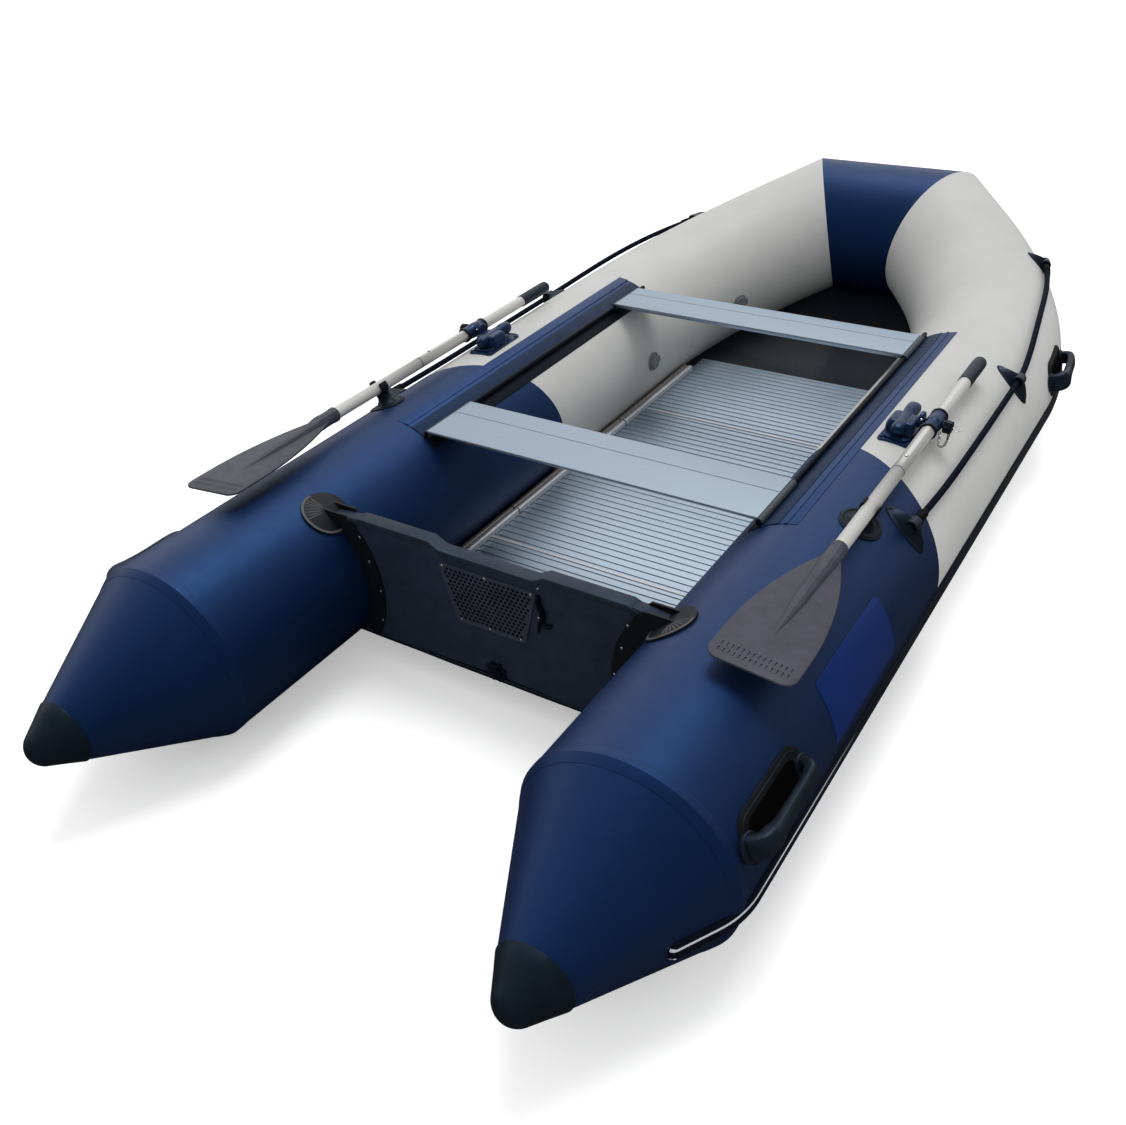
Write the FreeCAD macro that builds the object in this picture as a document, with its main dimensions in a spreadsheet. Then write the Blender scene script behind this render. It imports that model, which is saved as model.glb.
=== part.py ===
import FreeCAD, Part

import math
import os
import re

import Sketcher

Vector = FreeCAD.Vector
Rotation = FreeCAD.Rotation
Placement = FreeCAD.Placement

# Inflatable dinghy with a roll-up slatted floor, two sliding benches and two oars.
# Frame: +Y to the bow, +X to starboard, +Z up, origin under the middle of the hull.
# Lengths are in millimetres and angles in degrees. A "station" is a distance from the aft tip.
# An angle on a side tube is 0 outboard, 90 on top and 180 inboard.

SIZES = {
    # hull tubes
    "hull_length": 3292.0,
    "tube_radius": 210.0,
    "tube_offset": 551.0,
    "bend_radius": 955.0,
    "bend_angle": 47.25,
    "bend_tilt": 23.4,
    "bow_straight": 121.0,
    "split_station": 1452.0,
    "split_angle": 28.8,
    # stern cones
    "cone_length": 355.0,
    "cap_length": 85.0,
    "cap_neck_radius": 66.0,
    "cap_tip_radius": 41.0,
    # rubbing strake
    "strake_width": 40.0,
    "strake_height": 12.0,
    "strake_angle": -8.0,
    "strake_tail": 123.0,
    # bottom skin and keel
    "skin_thickness": 4.0,
    "skin_clearance": 4.0,
    "skin_tuck": 10.5,
    "keel_radius": 32.0,
    "keel_run_in": 400.0,
    "keel_clearance": 1.6,
    "bow_skin_angle": 25.0,
    # transom
    "transom_station": 747.0,
    "transom_thickness": 28.0,
    "transom_bottom": 73.0,
    "transom_fall": 32.0,
    "shoulder_gap": 5.0,
    "transom_drop": 12.0,
    "cutout_depth": 15.0,
    "cutout_bottom_width": 234.0,
    "cutout_top_width": 290.0,
    "trim_thickness": 3.0,
    "trim_leg": 25.0,
    "holder_web": 6.0,
    "holder_flange": 5.0,
    "holder_depth": 45.0,
    "holder_start_angle": 118.0,
    "holder_clearance": 0.5,
    "holder_disc_radius": 55.0,
    "holder_disc_thickness": 5.0,
    "holder_disc_angle": 125.0,
    # motor pads
    "pad_top_width": 250.0,
    "pad_bottom_width": 175.0,
    "pad_height": 142.0,
    "pad_trim_gap": 0.5,
    "pad_thickness": 3.0,
    "pad_corner": 14.0,
    # drain
    "drain_height": 97.0,
    "drain_bore_radius": 12.0,
    "drain_sleeve_radius": 15.0,
    "drain_flange_radius": 20.0,
    "drain_flange_thickness": 4.0,
    "drain_nut_radius": 18.0,
    "drain_nut_thickness": 3.0,
    "flap_radius": 14.0,
    "flap_thickness": 3.0,
    # floor
    "floor_top": 90.0,
    "floor_station": 792.0,
    "floor_bow_reach": 129.3,
    "panel_thickness": 12.0,
    "rib_height": 2.0,
    "rib_width": 7.0,
    "cell_wall": 2.0,
    "slat_pitch": 25.0,
    "joiner_width": 9.0,
    "stringer_clearance": 3.14,
    "stringer_width": 34.0,
    "stringer_lip": 23.0,
    "stringer_height": 15.0,
    "stringer_groove": 1.5,
    "stringer_wall": 4.0,
    "stringer_aft_gap": 25.0,
    "stringer_first": 500.0,
    "stringer_second": 560.0,
    "stringer_bow_gap": 100.0,
    "stringer_gap": 5.0,
    "stringer_round": 6.5,
    # seat rails and benches
    "rail_station": 1112.0,
    "rail_setback": 98.7,
    "rail_start_angle": 105.0,
    "rail_end_angle": 121.4,
    "rail_thickness": 2.5,
    "bead_radius": 6.0,
    "bead_lift": 11.0,
    "neck_width": 3.0,
    "bench_end_gap": 7.26,
    "bench_rise": 11.36,
    "bench_thickness": 20.0,
    "bench_wall": 2.2,
    "bench_cell": 44.0,
    "aft_bench_station": 1113.0,
    "aft_bench_width": 179.0,
    "front_bench_setback": 276.7,
    "front_bench_width": 141.0,
    "bracket_clearance": 0.5,
    "bracket_wall": 3.0,
    "bracket_mouth_angle": 100.0,
    # rowlock, whose own frame stands on the tube at rowlock_angle
    "rowlock_station": 1596.0,
    "rowlock_angle": 84.0,
    "rowlock_pad_length": 150.0,
    "rowlock_pad_width": 75.0,
    "rowlock_pad_thickness": 4.0,
    "rowlock_pad_corner": 12.0,
    "boss_radius": 33.0,
    "boss_height": 9.0,
    "pivot_radius": 8.0,
    "pivot_depth": 9.0,
    "fit_clearance": 0.05,
    "turning_gap": 0.3,
    "turret_radius": 30.0,
    "turret_top": 34.0,
    "turret_edge": 9.0,
    "turret_corner": 10.0,
    "turret_front": 18.0,
    "turret_back": 42.0,
    "lever_radius": 14.0,
    "lever_aft": 50.0,
    "lever_forward": 56.0,
    "eye_disc_radius": 19.0,
    "eye_disc_thickness": 10.0,
    "eye_disc_reach": 40.0,
    "spindle_radius": 5.0,
    "oar_reach": 64.0,
    "oar_rise": 37.9,
    "knob_radius": 15.0,
    "knob_length": 20.0,
    "knob_gap": 1.5,
    "knob_socket": 15.0,
    "knob_flute_radius": 2.4,
    "knob_edge": 2.0,
    # oar, along its own axis from the spindle
    "shaft_radius": 15.0,
    "shaft_wall": 1.6,
    "sleeve_gap": 0.1,
    "sleeve_length": 96.0,
    "shaft_joint": 246.0,
    "socket_start": 572.0,
    "socket_depth": 63.0,
    "socket_wall": 4.0,
    "blade_shoulder": 605.0,
    "blade_widest": 910.0,
    "blade_end": 985.0,
    "blade_width": 164.0,
    "blade_neck": 30.0,
    "blade_thickness": 5.0,
    "blade_corner": 25.0,
    "spine_knee": 770.0,
    "spine_knee_radius": 14.0,
    "spine_tip": 886.0,
    "spine_tip_radius": 3.0,
    "collar_radius": 20.0,
    "collar_aft": 47.0,
    "collar_forward": 40.0,
    "collar_rim": 2.0,
    "collar_rim_width": 7.0,
    "grip_start": 230.0,
    "grip_end": 365.0,
    "grip_radius": 17.0,
    "grip_edge": 8.0,
    "grip_cap": 20.0,
    "button_place": 199.0,
    "button_radius": 3.75,
    "button_proud": 3.0,
    "button_foot_radius": 5.5,
    "button_foot": 1.2,
    "button_length": 9.0,
    # oar clip on the tube
    "clip_place": 405.0,
    "clip_disc_radius": 47.0,
    "clip_disc_thickness": 3.0,
    "clip_length": 26.0,
    "clip_wall": 5.5,
    "clip_clearance": 0.4,
    "clip_inboard_angle": 140.0,
    "clip_outboard_angle": 38.0,
    "clip_stem_radius": 28.0,
    # lifeline and its eyes
    "rope_radius": 7.5,
    "rope_lift": 15.5,
    "rope_clearance": 2.0,
    "rope_tail": 10.0,
    "splice_radius": 10.5,
    "splice_start": 32.0,
    "splice_length": 40.0,
    "eye_length": 122.0,
    "eye_width": 60.0,
    "eye_thickness": 3.0,
    "tent_length": 112.0,
    "tent_width": 36.0,
    "tent_foot": 12.0,
    "tent_ridge": 11.0,
    "eye_hump_radius": 14.0,
    "eye_hump_length": 30.0,
    "aft_eye_station": 1284.0,
    "aft_eye_angle": 46.9,
    "aft_eye_twist_angle": 8.0,
    "mid_eye_setback": 207.7,
    "mid_eye_angle": 43.3,
    "mid_eye_twist_angle": 0.0,
    "bow_eye_turn_angle": 31.0,
    "bow_eye_angle": 36.1,
    "bow_eye_twist_angle": 13.8,
    # carrying handles
    "handle_thickness": 3.0,
    "handle_width": 100.0,
    "handle_corner": 24.0,
    "handle_bar_radius": 14.0,
    "handle_bar_lift": 32.0,
    "handle_knob_radius": 16.0,
    "handle_heel_radius": 21.0,
    "handle_boot_radius": 26.0,
    "aft_handle_setback": 150.0,
    "aft_handle_length": 232.0,
    "aft_handle_angle": 22.5,
    "bow_handle_turn_angle": 5.6,
    "bow_handle_length": 184.0,
    "bow_handle_angle": 15.0,
    # valves
    "valve_setback": 215.7,
    "valve_angle": 177.5,
    "bow_valve_turn_angle": 22.1,
    "bow_valve_angle": 179.6,
    "valve_radius": 28.0,
    "valve_rise": 5.0,
    "valve_sink": 8.0,
    "valve_bore_radius": 14.0,
    "valve_bore_depth": 5.5,
    "valve_cap_radius": 22.0,
    "valve_cap_thickness": 5.5,
    "valve_plug_radius": 12.0,
    "valve_plug_depth": 3.8,
    "valve_hinge_reach": 25.5,
    "drain_hinge_reach": 18.5,
    "hinge_barrel_radius": 3.0,
    "hinge_barrel_length": 9.0,
    "hinge_pin_radius": 1.5,
    "hinge_lug_width": 4.0,
    # towing ring under the bow
    "tow_angle": -45.0,
    "tow_disc_radius": 48.0,
    "tow_disc_thickness": 4.0,
    "tow_lug_radius": 9.0,
    "tow_lug_width": 24.0,
    "tow_lug_lift": 10.0,
    "tow_ring_radius": 22.0,
    "tow_wire_radius": 3.5,
}

PANEL_COUNT = 4
FLUTE_COUNT = 12
CUT_OVERRUN = 1.0
KNIFE_REACH = 5


def size(name):
    """Read one driving dimension."""
    return SIZES[name]


def sine(degrees):
    return math.sin(math.radians(degrees))


def cosine(degrees):
    return math.cos(math.radians(degrees))


def along(station):
    """Turn a station into the frame's Y."""
    return station - size("hull_length") / 2


# Directions of the bow bend, as unit vectors at the end of the starboard bend.
TILT = Rotation(Vector(0, 1, 0), size("bend_tilt"))
BEND_END = TILT.multVec(Vector(-sine(size("bend_angle")), cosine(size("bend_angle")), 0))
BEND_OUT = TILT.multVec(Vector(cosine(size("bend_angle")), sine(size("bend_angle")), 0))
BEND_UP = TILT.multVec(Vector(0, 0, 1))
MITRE = (BEND_END + Vector(-1, 0, 0)).normalize()


def mirrored_at_mitre(direction):
    """Carry a direction across the plane where the bend meets the bow tube."""
    return direction - MITRE * (2 * direction.dot(MITRE))


def worked_sizes():
    """Return the sizes that follow from the driving ones."""
    round_radius = (size("strake_width") ** 2 / 4 + size("strake_height") ** 2) / (2 * size("strake_height"))
    strake_axis = size("tube_radius") + size("strake_height") - round_radius
    turned = size("strake_angle") + size("bend_tilt")
    outward = mirrored_at_mitre(BEND_OUT * cosine(turned) + BEND_UP * sine(turned))
    inward = size("bend_radius") * (1 - cosine(size("bend_angle")))
    inward += size("bow_straight") * sine(size("bend_angle"))
    forward = size("bend_radius") * sine(size("bend_angle"))
    forward += size("bow_straight") * cosine(size("bend_angle"))
    corner_y = size("hull_length") / 2 - round_radius - strake_axis * outward.y
    corner_z = size("tube_radius") + inward * sine(size("bend_tilt"))
    front_y = corner_y - size("tube_radius") * sine(size("bow_skin_angle"))
    front_z = corner_z - size("tube_radius") * cosine(size("bow_skin_angle"))
    cone_narrowing = size("tube_radius") - size("cap_neck_radius")
    half_angle = math.atan2(cone_narrowing, size("cone_length") - size("cap_length"))
    floor_length = corner_y - forward + size("floor_bow_reach") - along(size("floor_station"))
    wall_drop = size("tube_radius") - size("floor_top") - size("stringer_height")
    wall_x = size("tube_offset") - math.sqrt(size("tube_radius") ** 2 - wall_drop ** 2)
    stringer_outer = wall_x - size("stringer_clearance")
    transom_top = 2 * size("tube_radius") - size("transom_fall")
    bead_reach = size("tube_radius") + size("bead_lift")
    bead_x = size("tube_offset") + bead_reach * cosine(size("rail_end_angle"))
    fixed_stringers = size("stringer_aft_gap") + size("stringer_first") + size("stringer_second")
    fixed_stringers += 2 * size("stringer_gap") + size("stringer_bow_gap")
    holder_drop = size("tube_radius") - size("transom_bottom") - size("holder_clearance")
    holder_low = math.degrees(math.asin(holder_drop / (size("tube_radius") + size("holder_depth"))))
    blade_half = (size("blade_width") - size("blade_neck")) / 2
    blade_run = size("blade_widest") - size("blade_shoulder")
    return {
        "strake_round": round_radius,
        "strake_axis": strake_axis,
        "strake_turned": turned,
        "strake_bow_y": outward.y,
        "strake_bow_z": outward.z,
        "corner_x": size("tube_offset") - inward * cosine(size("bend_tilt")),
        "corner_y": corner_y,
        "corner_z": corner_z,
        "bend_start": corner_y - forward,
        "side_length": corner_y - forward - along(size("cone_length")),
        "skin_front_y": front_y,
        "skin_front_z": front_z,
        "cone_half_angle": math.degrees(half_angle),
        "transom_top": transom_top,
        "transom_shoulder": size("tube_offset") - size("tube_radius") - size("shoulder_gap"),
        "cutout_floor": transom_top - size("cutout_depth"),
        "floor_length": floor_length,
        "floor_half_width": stringer_outer - size("stringer_lip"),
        "stringer_outer": stringer_outer,
        "stringer_inner": stringer_outer - size("stringer_width"),
        "stringer_third": floor_length - fixed_stringers,
        "rail_length": corner_y - forward - size("rail_setback") - along(size("rail_station")),
        "bead_x": bead_x,
        "bead_z": size("tube_radius") + bead_reach * sine(size("rail_end_angle")),
        "bench_half_length": bead_x - size("bench_end_gap"),
        "holder_sweep": 180 + holder_low - size("holder_start_angle"),
        "blade_round": (blade_run ** 2 + blade_half ** 2) / (2 * blade_half),
    }


WORKED = worked_sizes()


def worked(name):
    """Read one worked-out size."""
    return WORKED[name]


doc = FreeCAD.newDocument("Dinghy")
sheet = doc.addObject("Spreadsheet::Sheet", "Sizes")
for row, (alias, value) in enumerate(list(SIZES.items()) + list(WORKED.items()), 1):
    sheet.set("B%d" % row, repr(float(value)))
    sheet.setAlias("B%d" % row, alias)
doc.recompute()

FORWARD = Rotation(Vector(1, 0, 0), -90)
OUTBOARD = Rotation(Vector(0, 1, 0), 90)
KEPT = []


# ---- building helpers ----


def bind(thing, prop, formula):
    """Tie a property to a formula of sheet cells, whose names stand alone in it."""
    thing.setExpression(prop, re.sub(r"\b[a-z][a-z_]+\b(?!\()", r"Sizes.\g<0>", formula))


def at(x, y, z, turn=None):
    return Placement(Vector(x, y, z), turn or Rotation())


def shift(x, y, z):
    return at(x, y, z)


def primitive(kind, name, place, **formulas):
    """Add a Part primitive whose sizes are formulas."""
    part = doc.addObject("Part::" + kind, name)
    for prop, formula in formulas.items():
        bind(part, prop, formula)
    part.Placement = place
    return part


def joined(name, *parts):
    fuse = doc.addObject("Part::MultiFuse", name)
    fuse.Shapes = list(parts)
    return fuse


def carved(name, base, *tools):
    cut = doc.addObject("Part::Cut", name)
    cut.Base = base
    cut.Tool = tools[0] if len(tools) == 1 else joined(name + "Tools", *tools)
    return cut


def shared(name, first, second):
    common = doc.addObject("Part::Common", name)
    common.Base = first
    common.Tool = second
    return common


def grouped(name, *parts):
    group = doc.addObject("Part::Compound", name)
    group.Links = list(parts)
    return group


def mirrored(name, part):
    """Mirror a starboard piece to port."""
    mirror = doc.addObject("Part::Mirroring", name)
    mirror.Source = part
    mirror.Base = Vector(0, 0, 0)
    mirror.Normal = Vector(1, 0, 0)
    return mirror


def keep(node, part):
    """Name a finished sub-part."""
    part.Label = node
    KEPT.append(part)


def keep_pair(node, part):
    """Name a starboard sub-part and its port twin."""
    keep(node + "_starboard", part)
    keep(node + "_port", mirrored(part.Name + "Port", part))


def new_body(name, place=None):
    body = doc.addObject("PartDesign::Body", name)
    body.Placement = place or Placement()
    return body


def new_sketch(body, role, lift="0"):
    """Start a sketch on one of the body's own planes, lifted along the plane's normal."""
    sketch = body.newObject("Sketcher::SketchObject", body.Name + "Sketch")
    plane = next(item for item in body.Origin.OriginFeatures if item.Role == role)
    sketch.AttachmentSupport = (plane, [""])
    sketch.MapMode = "FlatFace"
    if lift != "0":
        bind(sketch, "AttachmentOffset.Base.z", lift)
    return sketch


def place_point(sketch, line, end, across, up):
    """Fix one end of a sketch line by two formulas."""
    now = sketch.getPoint(line, end)
    for kind, axis, formula, start in (("DistanceX", -2, across, now.x), ("DistanceY", -1, up, now.y)):
        if formula == "0":
            sketch.addConstraint(Sketcher.Constraint("PointOnObject", line, end, axis))
        else:
            number = sketch.addConstraint(Sketcher.Constraint(kind, -1, 1, line, end, start))
            bind(sketch, "Constraints[%d]" % number, formula)


def outline(body, role, corners, lift="0"):
    """Draw a closed polygon whose corners are pairs of formulas."""
    sketch = new_sketch(body, role, lift)
    count = len(corners)
    ring = [Vector(cosine(360 * step / count), sine(360 * step / count), 0) for step in range(count)]
    for step in range(count):
        sketch.addGeometry(Part.LineSegment(ring[step], ring[(step + 1) % count]), False)
    for step in range(count):
        sketch.addConstraint(Sketcher.Constraint("Coincident", step, 2, (step + 1) % count, 1))
    for step, (across, up) in enumerate(corners):
        place_point(sketch, step, 1, across, up)
    return sketch


def circle(body, role, radius, across="0", up="0", lift="0"):
    """Draw a circle whose centre and radius are formulas."""
    sketch = new_sketch(body, role, lift)
    sketch.addGeometry(Part.Circle(Vector(1, 1, 0), Vector(0, 0, 1), 1.0), False)
    place_point(sketch, 0, 3, across, up)
    number = sketch.addConstraint(Sketcher.Constraint("Radius", 0, 1.0))
    bind(sketch, "Constraints[%d]" % number, radius)
    return sketch


def rectangle(width, height, bottom=None):
    """Corners of a rectangle, centred, or standing on a given bottom."""
    low = "-(%s)/2" % height if bottom is None else bottom
    high = "(%s)/2" % height if bottom is None else "%s + (%s)" % (bottom, height)
    left, right = "-(%s)/2" % width, "(%s)/2" % width
    return [(left, low), (right, low), (right, high), (left, high)]


def pad(body, sketch, length, both_ways=False):
    feature = body.newObject("PartDesign::Pad", body.Name + "Pad")
    feature.Profile = sketch
    bind(feature, "Length", length)
    feature.SideType = "Symmetric" if both_ways else "One side"
    return feature


def pocket(body, sketch, length):
    """Cut a sketch both ways through the body."""
    feature = body.newObject("PartDesign::Pocket", body.Name + "Pocket")
    feature.Profile = sketch
    bind(feature, "Length", length)
    feature.SideType = "Symmetric"
    return feature


def repeat(body, feature, axis_role, pitch, count):
    """Repeat a feature in a row along one of the body's axes."""
    row = body.newObject("PartDesign::LinearPattern", body.Name + "Row")
    row.Originals = [feature]
    row.Direction = (next(item for item in body.Origin.OriginFeatures if item.Role == axis_role), [""])
    row.Mode = "Spacing"
    bind(row, "Offset", pitch)
    row.Occurrences = count
    body.Tip = row
    return row


def upright(edge):
    """Tell whether an edge is straight and along the body's own Z."""
    first, last = edge.Vertexes[0].Point, edge.Vertexes[-1].Point
    return abs(first.x - last.x) < 1e-6 and abs(first.y - last.y) < 1e-6


def along_y(edge):
    """Tell whether an edge is straight and along the body's own Y."""
    first, last = edge.Vertexes[0].Point, edge.Vertexes[-1].Point
    return abs(first.x - last.x) < 1e-6 and abs(first.z - last.z) < 1e-6 and abs(first.y - last.y) > 1e-6


def round_edges(body, radius, chosen):
    """Round the edges of the body's tip that pass the test."""
    doc.recompute()
    base = body.Tip
    names = ["Edge%d" % (index + 1) for index, edge in enumerate(base.Shape.Edges) if chosen(edge)]
    feature = body.newObject("PartDesign::Fillet", body.Name + "Round")
    feature.Base = (base, names)
    bind(feature, "Radius", radius)
    return feature


def plate(name, width, length, corner, depth, place):
    """A round-cornered plate, centred on its frame."""
    body = new_body(name, place)
    pad(body, outline(body, "XY_Plane", rectangle(width, length)), depth, both_ways=True)
    round_edges(body, corner, upright)
    return body


def on_side(angle, y, lift=0.0):
    """Frame on the starboard side tube: Z out of the tube, Y forward."""
    reach = size("tube_radius") + lift
    centre = Vector(size("tube_offset"), y, size("tube_radius"))
    return Placement(centre, Rotation(Vector(0, 1, 0), 90 - angle)) * shift(0, 0, reach)


BEND_FRAME = at(size("tube_offset"), worked("bend_start"), size("tube_radius"), TILT)


def on_bend(turn, angle, lift=0.0):
    """Frame on the starboard bow bend, at an angle of turn from where the bend starts."""
    centre = shift(-size("bend_radius"), 0, 0) * at(0, 0, 0, Rotation(Vector(0, 0, 1), turn))
    round_tube = Rotation(Vector(0, 1, 0), 90 - angle - size("bend_tilt"))
    outward = shift(size("bend_radius"), 0, 0) * at(0, 0, 0, round_tube)
    return BEND_FRAME * centre * outward * shift(0, 0, size("tube_radius") + lift)


def bent_pipe(name, radius, across, rise, aft_run, front_run):
    """A round pipe that follows the bow bend beside the tube's axis, in the bend's own plane."""
    turned = at(0, 0, 0, Rotation(Vector(0, 0, 1), size("bend_angle")))
    centre = BEND_FRAME * shift(-size("bend_radius"), 0, rise)
    ring = primitive(
        "Torus", name + "Bend", centre,
        Radius1="bend_radius + %r" % across, Radius2=radius, Angle3="bend_angle",
    )
    reach = size("bend_radius") + across
    aft_place = centre * at(reach, -aft_run, 0, FORWARD)
    aft = primitive("Cylinder", name + "Aft", aft_place, Radius=radius, Height=repr(aft_run))
    front_place = centre * turned * at(reach, 0, 0, FORWARD)
    front = primitive("Cylinder", name + "Front", front_place, Radius=radius, Height=front_run)
    return joined(name, aft, ring, front)


def knife(name, point, normal):
    """A large block that starts at a plane and reaches along its normal."""
    reach = size("tube_radius") * KNIFE_REACH
    half = reach / 2
    place = Placement(point, Rotation(Vector(0, 0, 1), normal)) * shift(-half, -half, 0)
    formula = "tube_radius * %d" % KNIFE_REACH
    return primitive("Box", name, place, Length=formula, Width=formula, Height=formula)


# ---- hull tubes ----

TUBE_AXIS = at(size("tube_offset"), 0, size("tube_radius"), FORWARD)
CORNER = Vector(worked("corner_x"), worked("corner_y"), worked("corner_z"))
SPLIT_POINT = Vector(size("tube_offset"), along(size("split_station")), size("tube_radius"))
SPLIT_NORMAL = Vector(sine(size("split_angle")), cosine(size("split_angle")), 0)


def side_cylinder(name, radius, station, length):
    """A cylinder along the starboard tube's axis, from a station forwards."""
    place = at(size("tube_offset"), along(station), size("tube_radius"), FORWARD)
    return primitive("Cylinder", name, place, Radius=radius, Height=length)


def build_tubes():
    """Aft chamber, bow bend and straight bow tube, cut where their seams run."""
    aft_run = "split_station - cone_length + tube_radius"
    aft = side_cylinder("TubeAftBlank", "tube_radius", size("cone_length"), aft_run)
    aft_tube = carved("TubeAft", aft, knife("SplitAhead", SPLIT_POINT, SPLIT_NORMAL))
    run_back = worked("bend_start") - along(size("split_station")) + size("tube_radius")
    bend = bent_pipe("TubeBend", "tube_radius", 0, 0, run_back, "bow_straight + tube_radius")
    past_mitre = knife("MitreAhead", CORNER, MITRE)
    behind_split = knife("SplitBehind", SPLIT_POINT, -SPLIT_NORMAL)
    bow_tube = carved("TubeBow", bend, past_mitre, behind_split)
    reach = worked("corner_x") + size("tube_radius")
    blank = primitive(
        "Cylinder", "BowBlank", at(-reach, CORNER.y, CORNER.z, OUTBOARD),
        Radius="tube_radius", Height="2 * (corner_x + tube_radius)",
    )
    before_mitre = knife("MitreBehind", CORNER, -MITRE)
    centre = carved("BowCentre", blank, before_mitre, mirrored("MitreBehindPort", before_mitre))
    keep_pair("tube_aft", aft_tube)
    keep_pair("tube_bow", bow_tube)
    keep("tube_bow_centre", centre)
    sides = [aft_tube, bow_tube]
    ports = [part for part in KEPT if part.Label in ("tube_aft_port", "tube_bow_port")]
    return joined("HullTubes", centre, *(sides + ports)), past_mitre


def build_cones():
    """Tapered stern ends and the moulded caps on them."""
    neck = at(size("tube_offset"), along(size("cap_length")), size("tube_radius"), FORWARD)
    cone = primitive(
        "Cone", "SternCone", neck,
        Radius1="cap_neck_radius", Radius2="tube_radius", Height="cone_length - cap_length",
    )
    tip_station = size("cap_tip_radius")
    tip = at(size("tube_offset"), along(tip_station), size("tube_radius"))
    ball = primitive("Sphere", "CapTip", tip, Radius="cap_tip_radius")
    start = size("cap_tip_radius") * (1 - sine(worked("cone_half_angle")))
    skirt_place = at(size("tube_offset"), along(start), size("tube_radius"), FORWARD)
    skirt_length = "(cap_length - cap_tip_radius * (1 - sin(cone_half_angle)))"
    skirt = primitive(
        "Cone", "CapSkirt", skirt_place,
        Radius1="cap_tip_radius * cos(cone_half_angle)",
        Radius2="cap_tip_radius * cos(cone_half_angle) + %s * tan(cone_half_angle)" % skirt_length,
        Height=skirt_length,
    )
    keep_pair("stern_cone", cone)
    keep_pair("cone_cap", joined("ConeCap", ball, skirt))
    return cone


def build_strake(hull, cone, past_mitre):
    """Half-round rubbing strake round the whole outside."""
    across = worked("strake_axis") * cosine(worked("strake_turned"))
    rise = worked("strake_axis") * sine(worked("strake_turned"))
    run_back = worked("bend_start") - along(size("cone_length"))
    side = bent_pipe("StrakeSide", "strake_round", across, rise, run_back, "bow_straight + tube_radius")
    outward = on_side(size("strake_angle"), along(size("cone_length")), -size("tube_radius"))
    tail_frame = outward * shift(0, 0, worked("strake_axis"))
    lean = Rotation(Vector(1, 0, 0), 90 + worked("cone_half_angle"))
    tail = primitive(
        "Cylinder", "StrakeTail", tail_frame * at(0, 0, 0, lean),
        Radius="strake_round", Height="strake_tail",
    )
    tail_end = tail_frame * at(0, 0, 0, lean) * shift(0, 0, size("strake_tail"))
    end_ball = primitive("Sphere", "StrakeTailEnd", tail_end, Radius="strake_round")
    knee = primitive("Sphere", "StrakeKnee", tail_frame, Radius="strake_round")
    trimmed = carved("StrakeSideCut", joined("StrakeSideWhole", side, tail, end_ball, knee), past_mitre)
    front = worked("corner_y") + worked("strake_axis") * worked("strake_bow_y")
    high = worked("corner_z") + worked("strake_axis") * worked("strake_bow_z")
    reach = worked("corner_x") + size("tube_radius")
    bow = primitive(
        "Cylinder", "StrakeBow", at(-reach, front, high, OUTBOARD),
        Radius="strake_round", Height="2 * (corner_x + tube_radius)",
    )
    before_mitre = doc.getObject("MitreBehind")
    bow_cut = carved("StrakeBowCut", bow, before_mitre, mirrored("MitreBehindPortAgain", before_mitre))
    whole = joined("StrakeWhole", trimmed, bow_cut, mirrored("StrakePort", trimmed))
    keep("rub_strake", carved("Strake", whole, hull, cone, mirrored("ConePortTool", cone)))


# ---- bottom skin and keel ----


def skin_section(body, y, half_width, edge, keel):
    """One V-shaped slice of the bottom skin at a given Y."""
    thick = size("skin_thickness")
    corners = [(0, keel), (half_width, edge), (half_width, edge + thick)]
    corners += [(0, keel + thick), (-half_width, edge + thick), (-half_width, edge)]
    return outline(body, "XZ_Plane", [(repr(float(x)), repr(float(z))) for x, z in corners], repr(float(-y)))


def skin_edge(turn):
    """Where the skin's edge lies under the bend, just inside the tube's wall."""
    inward = size("bend_radius") * (1 - cosine(turn))
    inside = size("tube_radius") - size("skin_tuck")
    x = size("tube_offset") - inward * cosine(size("bend_tilt")) - inside * sine(45)
    z = size("tube_radius") + inward * sine(size("bend_tilt")) - inside * cosine(45)
    return x, z


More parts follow.
